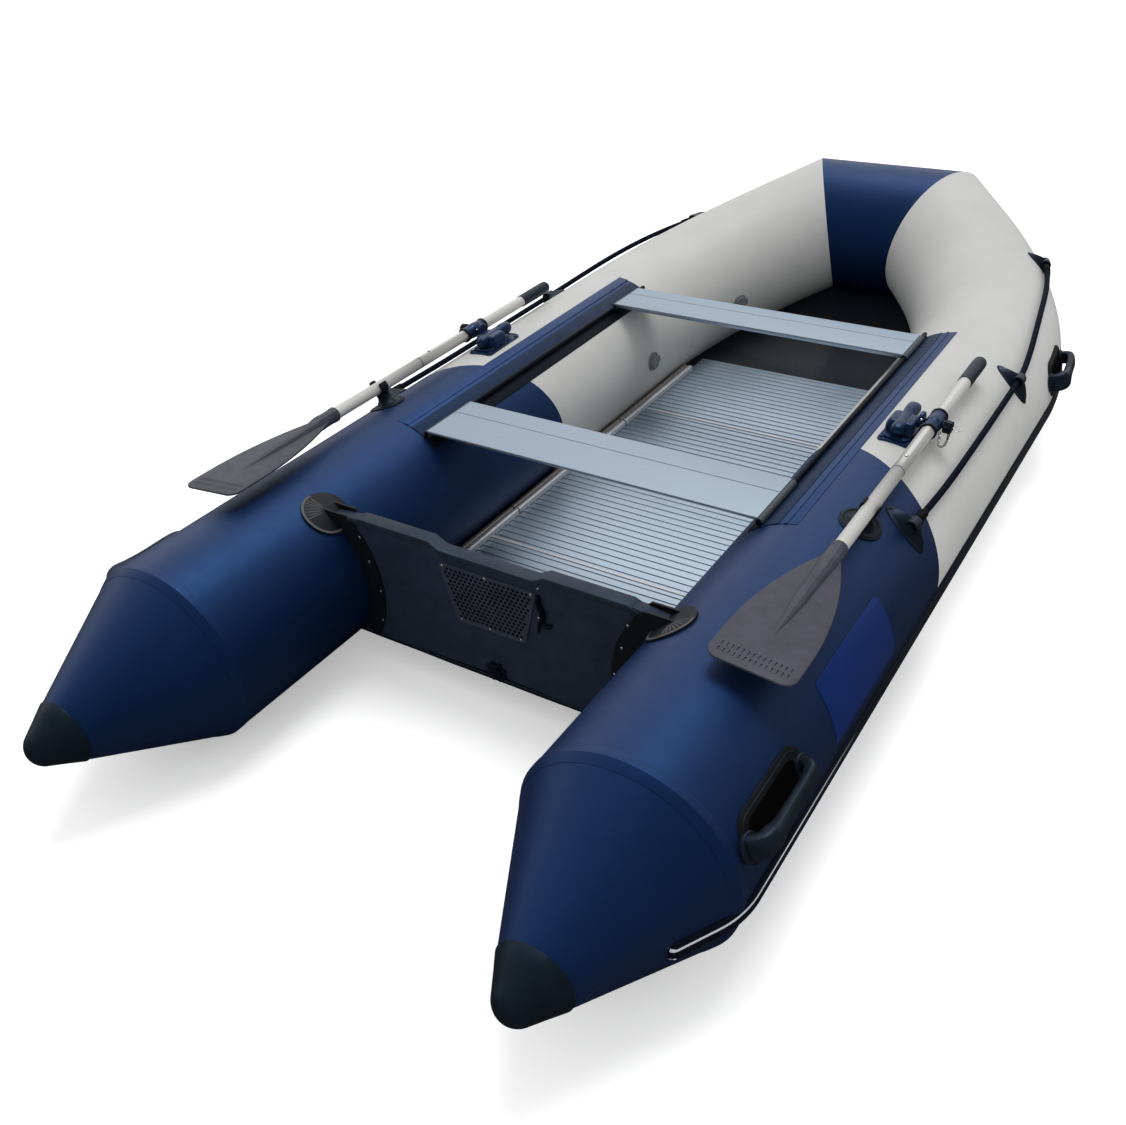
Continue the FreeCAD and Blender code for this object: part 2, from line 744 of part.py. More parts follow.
def build_bottom(hull):
    """Fabric bottom, flat at the transom, V-shaped amidships and rising to the bow tube."""
    low = size("skin_clearance")
    thick = size("skin_thickness")
    flat = size("transom_bottom") - thick
    half_width, edge = skin_edge(0)
    aft_y = along(size("transom_station"))
    run_in_y = aft_y + size("keel_run_in")
    straight = new_body("SkinStraight")
    first = skin_section(straight, aft_y, half_width, flat, flat)
    second = skin_section(straight, run_in_y, half_width, edge, low)
    third = skin_section(straight, worked("bend_start"), half_width, edge, low)
    loft = straight.newObject("PartDesign::AdditiveLoft", "SkinStraightLoft")
    loft.Profile = first
    loft.Sections = [second, third]
    loft.Ruled = True
    keep("bottom_skin", carved("BottomSkin", straight, hull))
    rising = new_body("SkinBow")
    run = worked("skin_front_y") - worked("bend_start")
    climb = worked("skin_front_z") - low
    last = math.degrees(math.asin(run / size("bend_radius")))
    sections = [skin_section(rising, worked("bend_start"), half_width, edge, low)]
    for share in (1 / 3, 2 / 3, 1):
        turn = last * share
        ahead = size("bend_radius") * sine(turn)
        edge_x, edge_z = skin_edge(turn)
        keel_z = low + climb * (ahead / run) ** 2
        section_y = worked("bend_start") + ahead
        sections.append(skin_section(rising, section_y, edge_x, max(edge_z, keel_z), keel_z))
    loft = rising.newObject("PartDesign::AdditiveLoft", "SkinBowLoft")
    loft.Profile = sections[0]
    loft.Sections = sections[1:]
    loft.Ruled = True
    keep("bow_skin", carved("BowSkin", rising, hull))
    start = run_in_y + size("keel_radius")
    axis = low + thick + size("keel_radius") + size("keel_clearance")
    keel_length = worked("bend_start") - start
    middle_place = at(0, start, axis, FORWARD)
    middle = primitive(
        "Cylinder", "KeelMiddle", middle_place,
        Radius="keel_radius", Height=repr(keel_length),
    )
    ends = [
        primitive("Sphere", "KeelEnd", at(0, y, axis), Radius="keel_radius")
        for y in (start, start + keel_length)
    ]
    keep("keel_tube", joined("KeelTube", middle, *ends))


# ---- transom ----


def transom_profile(shift_up, width):
    """Upper edge of the transom from port to starboard, lifted, out to a half width."""
    edge = [
        (width, "transom_top - transom_drop + %s" % shift_up),
        ("transom_shoulder", "transom_top + %s" % shift_up),
        ("cutout_top_width/2", "transom_top + %s" % shift_up),
        ("cutout_bottom_width/2", "cutout_floor + %s" % shift_up),
    ]
    port = [("-(%s)" % across, up) for across, up in edge]
    return port + edge[::-1]


def holder_cylinder(name, radius):
    """A cylinder round the tube's axis, across the transom's width."""
    start = along(size("transom_station")) - size("holder_depth")
    place = at(size("tube_offset"), start, size("tube_radius"), FORWARD)
    return primitive("Cylinder", name, place, Radius=radius, Height="transom_thickness + 2*holder_depth")


def build_transom():
    """Board, edge trim, motor pads and the moulded holders that glue it to the tubes."""
    aft_y = along(size("transom_station"))
    middle_y = aft_y + size("transom_thickness") / 2
    web = holder_cylinder("HolderWebTool", "tube_radius + holder_web")
    rim = holder_cylinder("HolderRimTool", "tube_radius + holder_depth + turning_gap")
    board = new_body("TransomBoardBlank", at(0, middle_y, 0))
    side = "tube_offset - tube_radius/2"
    upper = transom_profile("0", side)
    foot = [(side, "transom_bottom"), ("-(%s)" % side, "transom_bottom")]
    pad(board, outline(board, "XZ_Plane", upper + foot), "transom_thickness", both_ways=True)
    drain_place = at(0, aft_y - size("drain_bore_radius"), size("drain_height"), FORWARD)
    drain = primitive(
        "Cylinder", "DrainHole", drain_place,
        Radius="drain_sleeve_radius", Height="transom_thickness + 2*drain_bore_radius",
    )
    keep("transom_board", carved("TransomBoard", board, web, mirrored("HolderWebPort", web), drain))
    trim = new_body("TransomTrimBlank", at(0, middle_y, 0))
    width = "tube_offset - tube_radius + holder_depth/2"
    over = transom_profile("trim_thickness", width)
    under = transom_profile("-trim_leg", width)[::-1]
    trim_width = "transom_thickness + 2*trim_thickness"
    pad(trim, outline(trim, "XZ_Plane", over + under), trim_width, both_ways=True)
    keep("transom_trim", carved("TransomTrim", trim, board, rim, mirrored("HolderRimPort", rim)))
    pads = []
    pad_top = "(cutout_floor - trim_leg - pad_trim_gap)"
    pad_bottom = pad_top + " - pad_height"
    faces = (("PadAft", aft_y - size("pad_thickness")), ("PadFront", aft_y + size("transom_thickness")))
    for name, y in faces:
        body = new_body(name, at(0, y + size("pad_thickness") / 2, 0))
        corners = [("-pad_bottom_width/2", pad_bottom), ("pad_bottom_width/2", pad_bottom)]
        corners += [("pad_top_width/2", pad_top), ("-pad_top_width/2", pad_top)]
        pad(body, outline(body, "XZ_Plane", corners), "pad_thickness", both_ways=True)
        round_edges(body, "pad_corner", along_y)
        pads.append(body)
    keep("motor_pads", grouped("MotorPads", *pads))
    start = Rotation(Vector(0, 1, 0), -size("holder_start_angle"))
    holder = new_body("HolderBand", at(size("tube_offset"), middle_y, size("tube_radius"), start))
    wide = "transom_thickness/2 + holder_flange"
    inner, step, outer = "tube_radius", "tube_radius + holder_web", "tube_radius + holder_depth"
    channel = [(inner, "-(%s)" % wide), (outer, "-(%s)" % wide), (outer, "-transom_thickness/2")]
    channel += [(step, "-transom_thickness/2"), (step, "transom_thickness/2")]
    channel += [(outer, "transom_thickness/2")]
    channel += [(outer, wide), (inner, wide)]
    sketch = outline(holder, "XY_Plane", channel)
    turn = holder.newObject("PartDesign::Revolution", "HolderTurn")
    turn.Profile = sketch
    turn.ReferenceAxis = (sketch, ["V_Axis"])
    bind(turn, "Angle", "holder_sweep")
    turn.Reversed = True
    lid = primitive(
        "Box", "HolderLid",
        at(0, aft_y - size("holder_depth"), worked("transom_top") + size("trim_thickness")),
        Length="tube_offset + tube_radius", Width="transom_thickness + 2*holder_depth",
        Height="tube_radius",
    )
    band = carved("HolderLevel", holder, lid)
    disc_y = aft_y - size("holder_flange")
    disc = round_patch(
        "HolderDisc", "holder_disc_radius", "holder_disc_thickness", size("holder_disc_angle"), disc_y,
    )
    keep_pair("transom_holder", joined("Holder", band, carved("HolderDiscCut", disc, board)))


def build_drain():
    """Drain sleeve through the transom and the flap that shuts it."""
    aft_y = along(size("transom_station"))
    height = size("drain_height")
    back = aft_y - size("drain_flange_thickness")
    front = aft_y + size("transom_thickness")
    flange = primitive(
        "Cylinder", "DrainFlange", at(0, back, height, FORWARD),
        Radius="drain_flange_radius", Height="drain_flange_thickness",
    )
    through = "drain_flange_thickness + transom_thickness + drain_nut_thickness"
    sleeve = primitive(
        "Cylinder", "DrainSleeve", at(0, back, height, FORWARD),
        Radius="drain_sleeve_radius", Height=through,
    )
    nut = primitive(
        "Cylinder", "DrainNut", at(0, front, height, FORWARD),
        Radius="drain_nut_radius", Height="drain_nut_thickness",
    )
    hole = primitive(
        "Cylinder", "DrainBore", at(0, back - CUT_OVERRUN, height, FORWARD),
        Radius="drain_bore_radius", Height="2*transom_thickness",
    )
    upright_frame = at(0, back, height, Rotation(Vector(1, 0, 0), 90))
    lugs = hinge_lugs("DrainLugs", upright_frame, "drain_hinge_reach")
    keep("drain_valve", carved("DrainValve", joined("DrainSolid", flange, sleeve, nut, lugs), hole))
    flap = hinged_cap(
        "DrainFlap", upright_frame, "drain_hinge_reach", "flap_radius", "flap_thickness", None,
    )
    keep("drain_flap", flap)


# ---- hinged caps: frame Z out of the seat, hinge along X at +Y ----


def hinge_frame(frame, reach):
    """Frame of the hinge pin: its Z lies along the seat's X."""
    lift = size("turning_gap") + size("hinge_barrel_radius")
    return frame * at(0, size(reach), lift, OUTBOARD)


def hinge_lugs(name, frame, reach):
    """Two ears and the pin between them, standing on a seat."""
    pin_frame = hinge_frame(frame, reach)
    half = size("hinge_barrel_length") / 2 + size("turning_gap")
    wide = size("hinge_lug_width")
    pin = primitive(
        "Cylinder", name + "Pin", pin_frame * shift(0, 0, -half - wide),
        Radius="hinge_pin_radius", Height="hinge_barrel_length + 2*turning_gap + 2*hinge_lug_width",
    )
    lugs = [pin]
    for side in (-half - wide, half):
        ear = primitive(
            "Cylinder", name + "Ear", pin_frame * shift(0, 0, side),
            Radius="hinge_barrel_radius", Height="hinge_lug_width",
        )
        foot_y = size(reach) - size("hinge_barrel_radius")
        foot_place = frame * shift(side, foot_y, -size("hinge_barrel_radius"))
        foot = primitive(
            "Box", name + "Foot", foot_place,
            Length="hinge_lug_width", Width="2*hinge_barrel_radius",
            Height="2*hinge_barrel_radius + turning_gap",
        )
        lugs += [ear, foot]
    return joined(name, *lugs)


def hinged_cap(name, frame, reach, radius, thickness, plug_depth):
    """A round lid with its hinge barrel, and a plug below it where it has one."""
    gap = size("turning_gap")
    lid = primitive("Cylinder", name + "Lid", frame * shift(0, 0, gap), Radius=radius, Height=thickness)
    pin_frame = hinge_frame(frame, reach)
    half = size("hinge_barrel_length") / 2
    barrel = primitive(
        "Cylinder", name + "Barrel", pin_frame * shift(0, 0, -half),
        Radius="hinge_barrel_radius", Height="hinge_barrel_length",
    )
    tongue = primitive(
        "Box", name + "Tongue", frame * shift(-half, 0, gap),
        Length="hinge_barrel_length", Width=reach, Height="flap_thickness",
    )
    bore = primitive(
        "Cylinder", name + "Bore", pin_frame * shift(0, 0, -2 * half),
        Radius="hinge_pin_radius + fit_clearance", Height="2*hinge_barrel_length",
    )
    solids = [lid, barrel, tongue]
    if plug_depth:
        plug_place = frame * shift(0, 0, gap - size(plug_depth))
        plug = primitive(
            "Cylinder", name + "Plug", plug_place,
            Radius="valve_plug_radius", Height=plug_depth,
        )
        solids.append(plug)
    return carved(name, joined(name + "Solid", *solids), bore)


def build_valves(hull):
    """Inflation valves on the inboard walls, one for each chamber."""
    side = on_side(size("valve_angle"), worked("bend_start") - size("valve_setback"))
    bow = on_bend(size("bow_valve_turn_angle"), size("bow_valve_angle"))
    seats, caps = [], []
    for name, frame in (("SideValve", side), ("BowValve", bow)):
        top = frame * shift(0, 0, size("valve_rise"))
        flange = primitive(
            "Cylinder", name + "Flange", frame * shift(0, 0, -size("valve_sink")),
            Radius="valve_radius", Height="valve_sink + valve_rise",
        )
        bore = primitive(
            "Cylinder", name + "Bore", top * shift(0, 0, -size("valve_bore_depth")),
            Radius="valve_bore_radius", Height="2*valve_bore_depth",
        )
        solid = joined(name + "Body", flange, hinge_lugs(name + "Lugs", top, "valve_hinge_reach"))
        seats.append(carved(name + "Seat", solid, bore))
        cap = hinged_cap(
            name + "Cap", top, "valve_hinge_reach",
            "valve_cap_radius", "valve_cap_thickness", "valve_plug_depth",
        )
        caps.append(cap)
    seats = [carved(seat.Name + "OnTube", seat, doc.getObject("HullTubes")) for seat in seats]
    port_seats = [mirrored("SideSeatPort", seats[0]), mirrored("BowSeatPort", seats[1])]
    keep("valve_seats", grouped("ValveSeats", seats[0], *port_seats))
    keep_pair("valve_cap", caps[0])
    keep("valve_cap_bow", mirrored("BowCapPort", caps[1]))


# ---- patches that follow a tube ----


def tube_wrap(name, thickness):
    """A sleeve of a given thickness round the starboard side tube."""
    outer = "tube_radius + %s" % thickness
    whole = side_cylinder(name + "Outer", outer, size("cone_length"), "side_length")
    core = side_cylinder(name + "Core", "tube_radius", size("cone_length"), "side_length")
    return carved(name, whole, core)


def bend_wrap(name, thickness):
    """A sleeve of a given thickness round the starboard bow bend."""
    outer = "tube_radius + %s" % thickness
    sleeve = bent_pipe(name + "Sleeve", outer, 0, 0, size("tube_radius"), "bow_straight")
    return carved(name, sleeve, doc.getObject("HullTubes"))


def round_patch(name, radius, thickness, angle, y):
    """A disc bent to the side tube."""
    depth = size("tube_radius") / 2
    prism = primitive(
        "Cylinder", name + "Prism", on_side(angle, y, -depth),
        Radius=radius, Height="tube_radius",
    )
    return shared(name, prism, tube_wrap(name + "Wrap", thickness))


# ---- floor ----


def hollow_slab(body, length, height, wall, pitch, count, width):
    """An extruded slab across the boat, with a row of square cells inside."""
    pad(body, outline(body, "YZ_Plane", rectangle(length, height, "0")), width, both_ways=True)
    half = "(%s)/2" % length
    left = "-%s + (%s)" % (half, wall)
    right = "-%s + (%s) - (%s)" % (half, pitch, wall)
    roof = "(%s) - (%s)" % (height, wall)
    corners = [(left, wall), (right, wall), (right, roof), (left, roof)]
    cell = pocket(body, outline(body, "YZ_Plane", corners), "2*(%s)" % width)
    repeat(body, cell, "Y_Axis", pitch, count)


def build_floor():
    """Ribbed hollow panels, the joiners between them and the stringers that lock their ends."""
    bottom = size("floor_top") - size("rib_height") - size("panel_thickness")
    pitch = (worked("floor_length") + size("joiner_width")) / PANEL_COUNT
    panel_length = "((floor_length + joiner_width) / %d - joiner_width)" % PANEL_COUNT
    slats = round((pitch - size("joiner_width")) / size("slat_pitch"))
    slat = "(%s / %d)" % (panel_length, slats)
    joiners = []
    for index in range(PANEL_COUNT):
        centre_y = along(size("floor_station")) + pitch * index + (pitch - size("joiner_width")) / 2
        body = new_body("FloorPanel%d" % (index + 1), at(0, centre_y, bottom))
        hollow_slab(body, panel_length, "panel_thickness", "cell_wall", slat, slats, "2*floor_half_width")
        left = "-%s/2 + (%s - rib_width)/2" % (panel_length, slat)
        right = "-%s/2 + (%s + rib_width)/2" % (panel_length, slat)
        low, high = "panel_thickness - cell_wall/2", "panel_thickness + rib_height"
        corners = [(left, low), (right, low), (right, high), (left, high)]
        rib = pad(body, outline(body, "YZ_Plane", corners), "2*floor_half_width", both_ways=True)
        repeat(body, rib, "Y_Axis", slat, slats)
        keep("floor_panel_%d" % (index + 1), body)
        if index:
            joint_y = centre_y - pitch / 2
            joiner = new_body("Joiner%d" % index, at(0, joint_y, bottom))
            corners = rectangle("joiner_width", "panel_thickness + rib_height", "0")
            pad(joiner, outline(joiner, "YZ_Plane", corners), "2*floor_half_width", both_ways=True)
            joiners.append(joiner)
    keep("floor_joiners", grouped("FloorJoiners", *joiners))
    start = along(size("floor_station")) + size("stringer_aft_gap")
    pieces = []
    for index, length in enumerate(("stringer_first", "stringer_second", "stringer_third")):
        long = {**SIZES, **WORKED}[length]
        body = new_body("Stringer%d" % (index + 1), at(0, start + long / 2, bottom - size("stringer_wall")))
        deep = "stringer_wall + panel_thickness + rib_height"
        middle = "(stringer_inner + stringer_outer)/2"
        corners = [("stringer_inner", "0"), ("stringer_outer", "0")]
        corners += [("stringer_outer", deep + " + stringer_height")]
        corners += [(middle + " + stringer_groove/2", deep + " + stringer_height")]
        corners += [(middle + " + stringer_groove/2", deep + " + stringer_height/2")]
        corners += [(middle + " - stringer_groove/2", deep + " + stringer_height/2")]
        corners += [(middle + " - stringer_groove/2", deep + " + stringer_height")]
        corners += [("stringer_inner", deep + " + stringer_height"), ("stringer_inner", deep)]
        corners += [("floor_half_width", deep), ("floor_half_width", "stringer_wall")]
        corners += [("stringer_inner", "stringer_wall")]
        pad(body, outline(body, "XZ_Plane", corners), length, both_ways=True)
        top = size("stringer_wall") + size("panel_thickness") + size("rib_height") + size("stringer_height")
        round_edges(
            body, "stringer_round",
            lambda edge: along_y(edge) and abs(edge.Vertexes[0].Point.z - top) < 1e-6,
        )
        pieces.append(body)
        start += long + size("stringer_gap")
    keep_pair("side_stringer", grouped("SideStringer", *pieces))


# ---- seat rails and benches ----


def tube_sector(name, radius, start_angle, sweep, station, length):
    """A slice of a cylinder round the tube's axis, from one angle to another."""
    turn = Rotation(Vector(0, 0, 1), -(start_angle + sweep))
    place = at(size("tube_offset"), along(station), size("tube_radius"), FORWARD) * at(0, 0, 0, turn)
    return primitive("Cylinder", name, place, Radius=radius, Height=length, Angle=repr(sweep))


def build_rails():
    """Fabric flap with a beaded edge, on which the benches hang and slide."""
    station = size("rail_station")
    sweep = size("rail_end_angle") - size("rail_start_angle")
    thick = "tube_radius + rail_thickness"
    flap = tube_sector("RailFlap", thick, size("rail_start_angle"), sweep, station, "rail_length")
    neck_sweep = math.degrees(size("neck_width") / size("tube_radius"))
    neck_start = size("rail_end_angle") - neck_sweep / 2
    neck = tube_sector("RailNeck", "tube_radius + bead_lift", neck_start, neck_sweep, station, "rail_length")
    bead = primitive(
        "Cylinder", "RailBead", at(worked("bead_x"), along(station), worked("bead_z"), FORWARD),
        Radius="bead_radius", Height="rail_length",
    )
    core = side_cylinder("RailCore", "tube_radius", station, "rail_length")
    keep_pair("seat_rail", carved("SeatRail", joined("SeatRailBody", flap, neck, bead), core))


def build_bench(node, name, aft_y, width):
    """A hollow bench with a clasp at each end that rides on the bead."""
    centre_y = aft_y + size(width) / 2
    foot_z = worked("bead_z") + size("bench_rise") - size("bench_thickness")
    body = new_body(name + "Board", at(0, centre_y, foot_z))
    cells = round(size(width) / size("bench_cell"))
    pitch = "(%s/%d)" % (width, cells)
    hollow_slab(body, width, "bench_thickness", "bench_wall", pitch, cells, "2*bench_half_length")
    place = at(worked("bead_x"), aft_y, worked("bead_z"), FORWARD)
    inner = "bead_radius + bracket_clearance"
    outer = primitive("Cylinder", name + "ClaspOuter", place, Radius=inner + " + bracket_wall", Height=width)
    hollow = primitive("Cylinder", name + "ClaspBore", place, Radius=inner, Height=width)
    toward_tube = size("rail_end_angle") + 180
    mouth_turn = at(0, 0, 0, Rotation(Vector(0, 0, 1), -(toward_tube + size("bracket_mouth_angle") / 2)))
    mouth = primitive(
        "Cylinder", name + "ClaspMouth", place * mouth_turn,
        Radius="2*(bead_radius + bracket_wall)", Height=width, Angle="bracket_mouth_angle",
    )
    clasp = carved(name + "Clasp", outer, hollow, mouth)
    bore_port = mirrored(name + "BorePort", hollow)
    board = carved(name + "BoardCut", body, hollow, bore_port)
    keep(node, joined(name, board, clasp, mirrored(name + "ClaspPort", clasp)))


# ---- rowlocks ----


def rowlock_frame():
    return on_side(size("rowlock_angle"), along(size("rowlock_station")))


def build_rowlock():
    """Pad with its bearing boss, the turning head with its spindle, and the fluted knob."""
    frame = rowlock_frame()
    prism = plate(
        "RowlockPrism", "rowlock_pad_width", "rowlock_pad_length", "rowlock_pad_corner",
        "tube_radius/2", frame,
    )
    foot = shared("RowlockFoot", prism, tube_wrap("RowlockWrap", "rowlock_pad_thickness"))
    boss = primitive(
        "Cone", "RowlockBoss", frame * shift(0, 0, -size("pivot_depth")),
        Radius1="boss_radius + pivot_depth/2", Radius2="boss_radius", Height="pivot_depth + boss_height",
    )
    pivot_foot = size("boss_height") - size("pivot_depth")
    bearing = primitive(
        "Cylinder", "RowlockBearing", frame * shift(0, 0, pivot_foot - CUT_OVERRUN),
        Radius="pivot_radius + fit_clearance", Height="2*pivot_depth",
    )
    solid = carved("RowlockOnTube", joined("RowlockSolid", foot, boss), doc.getObject("HullTubes"))
    keep_pair("rowlock_base", carved("RowlockBase", solid, bearing))
    seat = size("boss_height") + size("turning_gap")
    pivot = primitive(
        "Cylinder", "SwivelPivot", frame * shift(0, 0, pivot_foot + size("turning_gap")),
        Radius="pivot_radius", Height="pivot_depth + turning_gap",
    )
    turret_y = (size("turret_front") - size("turret_back")) / 2
    turret = new_body("SwivelTurret", frame * shift(0, turret_y, seat))
    long = "turret_front + turret_back"
    top = "turret_top - boss_height - turning_gap"
    pad(turret, outline(turret, "XY_Plane", rectangle("2*turret_radius", long)), top)
    round_edges(turret, "turret_corner", upright)
    high = size("turret_top") - seat
    round_edges(
        turret, "turret_edge",
        lambda edge: all(abs(vertex.Point.z - high) < 1e-6 for vertex in edge.Vertexes),
    )
    lever_z = seat + size("lever_radius")
    lever = primitive(
        "Cylinder", "SwivelLever", frame * at(0, -size("lever_aft"), lever_z, FORWARD),
        Radius="lever_radius", Height="lever_aft + lever_forward",
    )
    thumb_place = frame * shift(0, size("lever_forward"), lever_z)
    thumb = primitive("Sphere", "SwivelThumb", thumb_place, Radius="lever_radius")
    heel_place = frame * shift(0, -size("lever_aft"), lever_z)
    heel = primitive("Sphere", "SwivelHeel", heel_place, Radius="lever_radius")
    rise = size("oar_rise")
    disc_start = size("eye_disc_reach") - size("eye_disc_thickness")
    disc = primitive(
        "Cylinder", "SwivelDisc", frame * at(disc_start, 0, rise, OUTBOARD),
        Radius="eye_disc_radius", Height="eye_disc_thickness",
    )
    arm = primitive(
        "Cylinder", "SwivelArm", frame * at(0, 0, seat + size("turret_edge"), OUTBOARD),
        Radius="turret_edge", Height="eye_disc_reach - eye_disc_thickness/2",
    )
    knob_start = size("oar_reach") + size("collar_radius") + size("knob_gap")
    spindle = primitive(
        "Cylinder", "SwivelSpindle", frame * at(disc_start, 0, rise, OUTBOARD),
        Radius="spindle_radius",
        Height="oar_reach + collar_radius + knob_gap + knob_socket - eye_disc_reach + eye_disc_thickness",
    )
    keep_pair("rowlock_swivel", joined("Swivel", pivot, turret, lever, thumb, heel, disc, arm, spindle))
    blank = new_body("KnobBlank", frame * at(knob_start, 0, rise, OUTBOARD))
    pad(blank, circle(blank, "XY_Plane", "knob_radius"), "knob_length")
    round_edges(blank, "knob_edge", lambda edge: edge.Closed)
    flute = pocket(blank, circle(blank, "XY_Plane", "knob_flute_radius", "knob_radius"), "3*knob_length")
    ring = blank.newObject("PartDesign::PolarPattern", "KnobFlutes")
    ring.Originals = [flute]
    ring.Axis = (next(item for item in blank.Origin.OriginFeatures if item.Role == "Z_Axis"), [""])
    ring.Angle = 360
    ring.Occurrences = FLUTE_COUNT
    blank.Tip = ring
    socket = primitive(
        "Cylinder", "KnobSocket", frame * at(knob_start - CUT_OVERRUN, 0, rise, OUTBOARD),
        Radius="spindle_radius + fit_clearance", Height="%r + knob_socket + fit_clearance" % CUT_OVERRUN,
    )
    keep_pair("rowlock_knob", carved("Knob", blank, socket))


# ---- oars, along Y through the spindle ----


def oar_frame():
    return rowlock_frame() * shift(size("oar_reach"), 0, size("oar_rise"))


def oar_rod(name, start, length, radius):
    """A round bar along the oar, from a distance ahead of the spindle."""
    return primitive("Cylinder", name, oar_frame() * at(0, start, 0, FORWARD), Radius=radius, Height=length)


def build_shaft(crossing):
    """Loom and outboard tube, joined by a necked sleeve that holds the snap button."""
    joint, wall = size("shaft_joint"), size("shaft_wall")
    loom_outer = oar_rod("LoomOuter", -joint, "shaft_joint + grip_end - grip_cap", "shaft_radius")
    bore = "shaft_radius - shaft_wall"
    loom_inner = oar_rod("LoomInner", -joint - CUT_OVERRUN, "shaft_joint + grip_end", bore)
    button_hole = primitive(
        "Cylinder", "ButtonHole", oar_frame() * shift(0, -size("button_place"), 0),
        Radius="button_radius + fit_clearance", Height="2*shaft_radius",
    )
    loom = carved("Loom", loom_outer, loom_inner, crossing, button_hole)
    aft_end = size("socket_start") + size("socket_depth")
    outboard_run = "socket_start + socket_depth - shaft_joint"
    tube_outer = oar_rod("OutboardOuter", -aft_end, outboard_run, "shaft_radius")
    neck_start = -joint - 2 * wall
    neck_radius = "shaft_radius - shaft_wall - sleeve_gap"
    neck = oar_rod("OutboardNeck", neck_start, "sleeve_length + 2*shaft_wall", neck_radius)
    tube_inner = oar_rod(
        "OutboardInner", -aft_end - CUT_OVERRUN,
        "socket_start + socket_depth - shaft_joint + sleeve_length + %r" % (2 * CUT_OVERRUN),
        "shaft_radius - 2*shaft_wall - sleeve_gap",
    )
    outboard = carved("Outboard", joined("OutboardBody", tube_outer, neck), tube_inner, button_hole)
    keep_pair("oar_shaft", grouped("OarShaft", loom, outboard))


def blade_outline(body):
    """Tulip-shaped outline: a neck, two rounded shoulders and a square end."""
    sketch = new_sketch(body, "XY_Plane")
    neck, half = size("blade_neck") / 2, size("blade_width") / 2
    shoulder, widest, end = -size("blade_shoulder"), -size("blade_widest"), -size("blade_end")
    radius = worked("blade_round")
    turn = math.asin((shoulder - widest) / radius)
    up = Vector(0, 0, 1)
    corners = [Vector(half, widest, 0), Vector(half, end, 0)]
    corners += [Vector(-half, end, 0), Vector(-half, widest, 0)]
    for first, last in zip(corners, corners[1:]):
        sketch.addGeometry(Part.LineSegment(first, last), False)
    sketch.addGeometry(Part.LineSegment(Vector(-neck, shoulder, 0), Vector(neck, shoulder, 0)), False)
    right = Part.Circle(Vector(half - radius, widest, 0), up, radius)
    left = Part.Circle(Vector(radius - half, widest, 0), up, radius)
    sketch.addGeometry(Part.ArcOfCircle(right, 0, turn), False)
    sketch.addGeometry(Part.ArcOfCircle(left, math.pi - turn, math.pi), False)
    sketch.addConstraint(Sketcher.Constraint("Coincident", 0, 2, 1, 1))
    sketch.addConstraint(Sketcher.Constraint("Coincident", 1, 2, 2, 1))
    sketch.addConstraint(Sketcher.Constraint("Coincident", 3, 2, 4, 2))
    sketch.addConstraint(Sketcher.Constraint("Coincident", 3, 1, 5, 1))
    place_point(sketch, 0, 1, "blade_width/2", "-blade_widest")
    place_point(sketch, 0, 2, "blade_width/2", "-blade_end")
    place_point(sketch, 1, 2, "-blade_width/2", "-blade_end")
    place_point(sketch, 2, 2, "-blade_width/2", "-blade_widest")
    place_point(sketch, 3, 1, "-blade_neck/2", "-blade_shoulder")
    place_point(sketch, 3, 2, "blade_neck/2", "-blade_shoulder")
    sketch.addConstraint(Sketcher.Constraint("Tangent", 4, 1, 0, 1))
    sketch.addConstraint(Sketcher.Constraint("Tangent", 5, 2, 2, 2))
    return sketch


def build_blade():
    """Thin tulip blade with a tapering spine that starts at the shaft's socket."""
    body = new_body("BladePlate", oar_frame())
    pad(body, blade_outline(body), "blade_thickness", both_ways=True)
    low = -size("blade_end")
    round_edges(
        body, "blade_corner",
        lambda edge: upright(edge) and abs(edge.Vertexes[0].Point.y - low) < 1e-6,
    )
    spine_root = size("socket_start") + size("socket_depth")
    socket = oar_rod("BladeSocket", -spine_root, "socket_depth", "shaft_radius + socket_wall")
    spine = primitive(
        "Cone", "BladeSpine", oar_frame() * at(0, -size("spine_knee"), 0, FORWARD),
        Radius1="spine_knee_radius", Radius2="shaft_radius + socket_wall",
        Height="spine_knee - socket_start - socket_depth",
    )
    point = primitive(
        "Cone", "BladeSpinePoint", oar_frame() * at(0, -size("spine_tip"), 0, FORWARD),
        Radius1="spine_tip_radius", Radius2="spine_knee_radius",
        Height="spine_tip - spine_knee",
    )
    bore = oar_rod("BladeBore", -spine_root, "2*socket_depth", "shaft_radius")
    keep_pair("oar_blade", carved("Blade", joined("BladeSolid", body, socket, spine, point), bore))


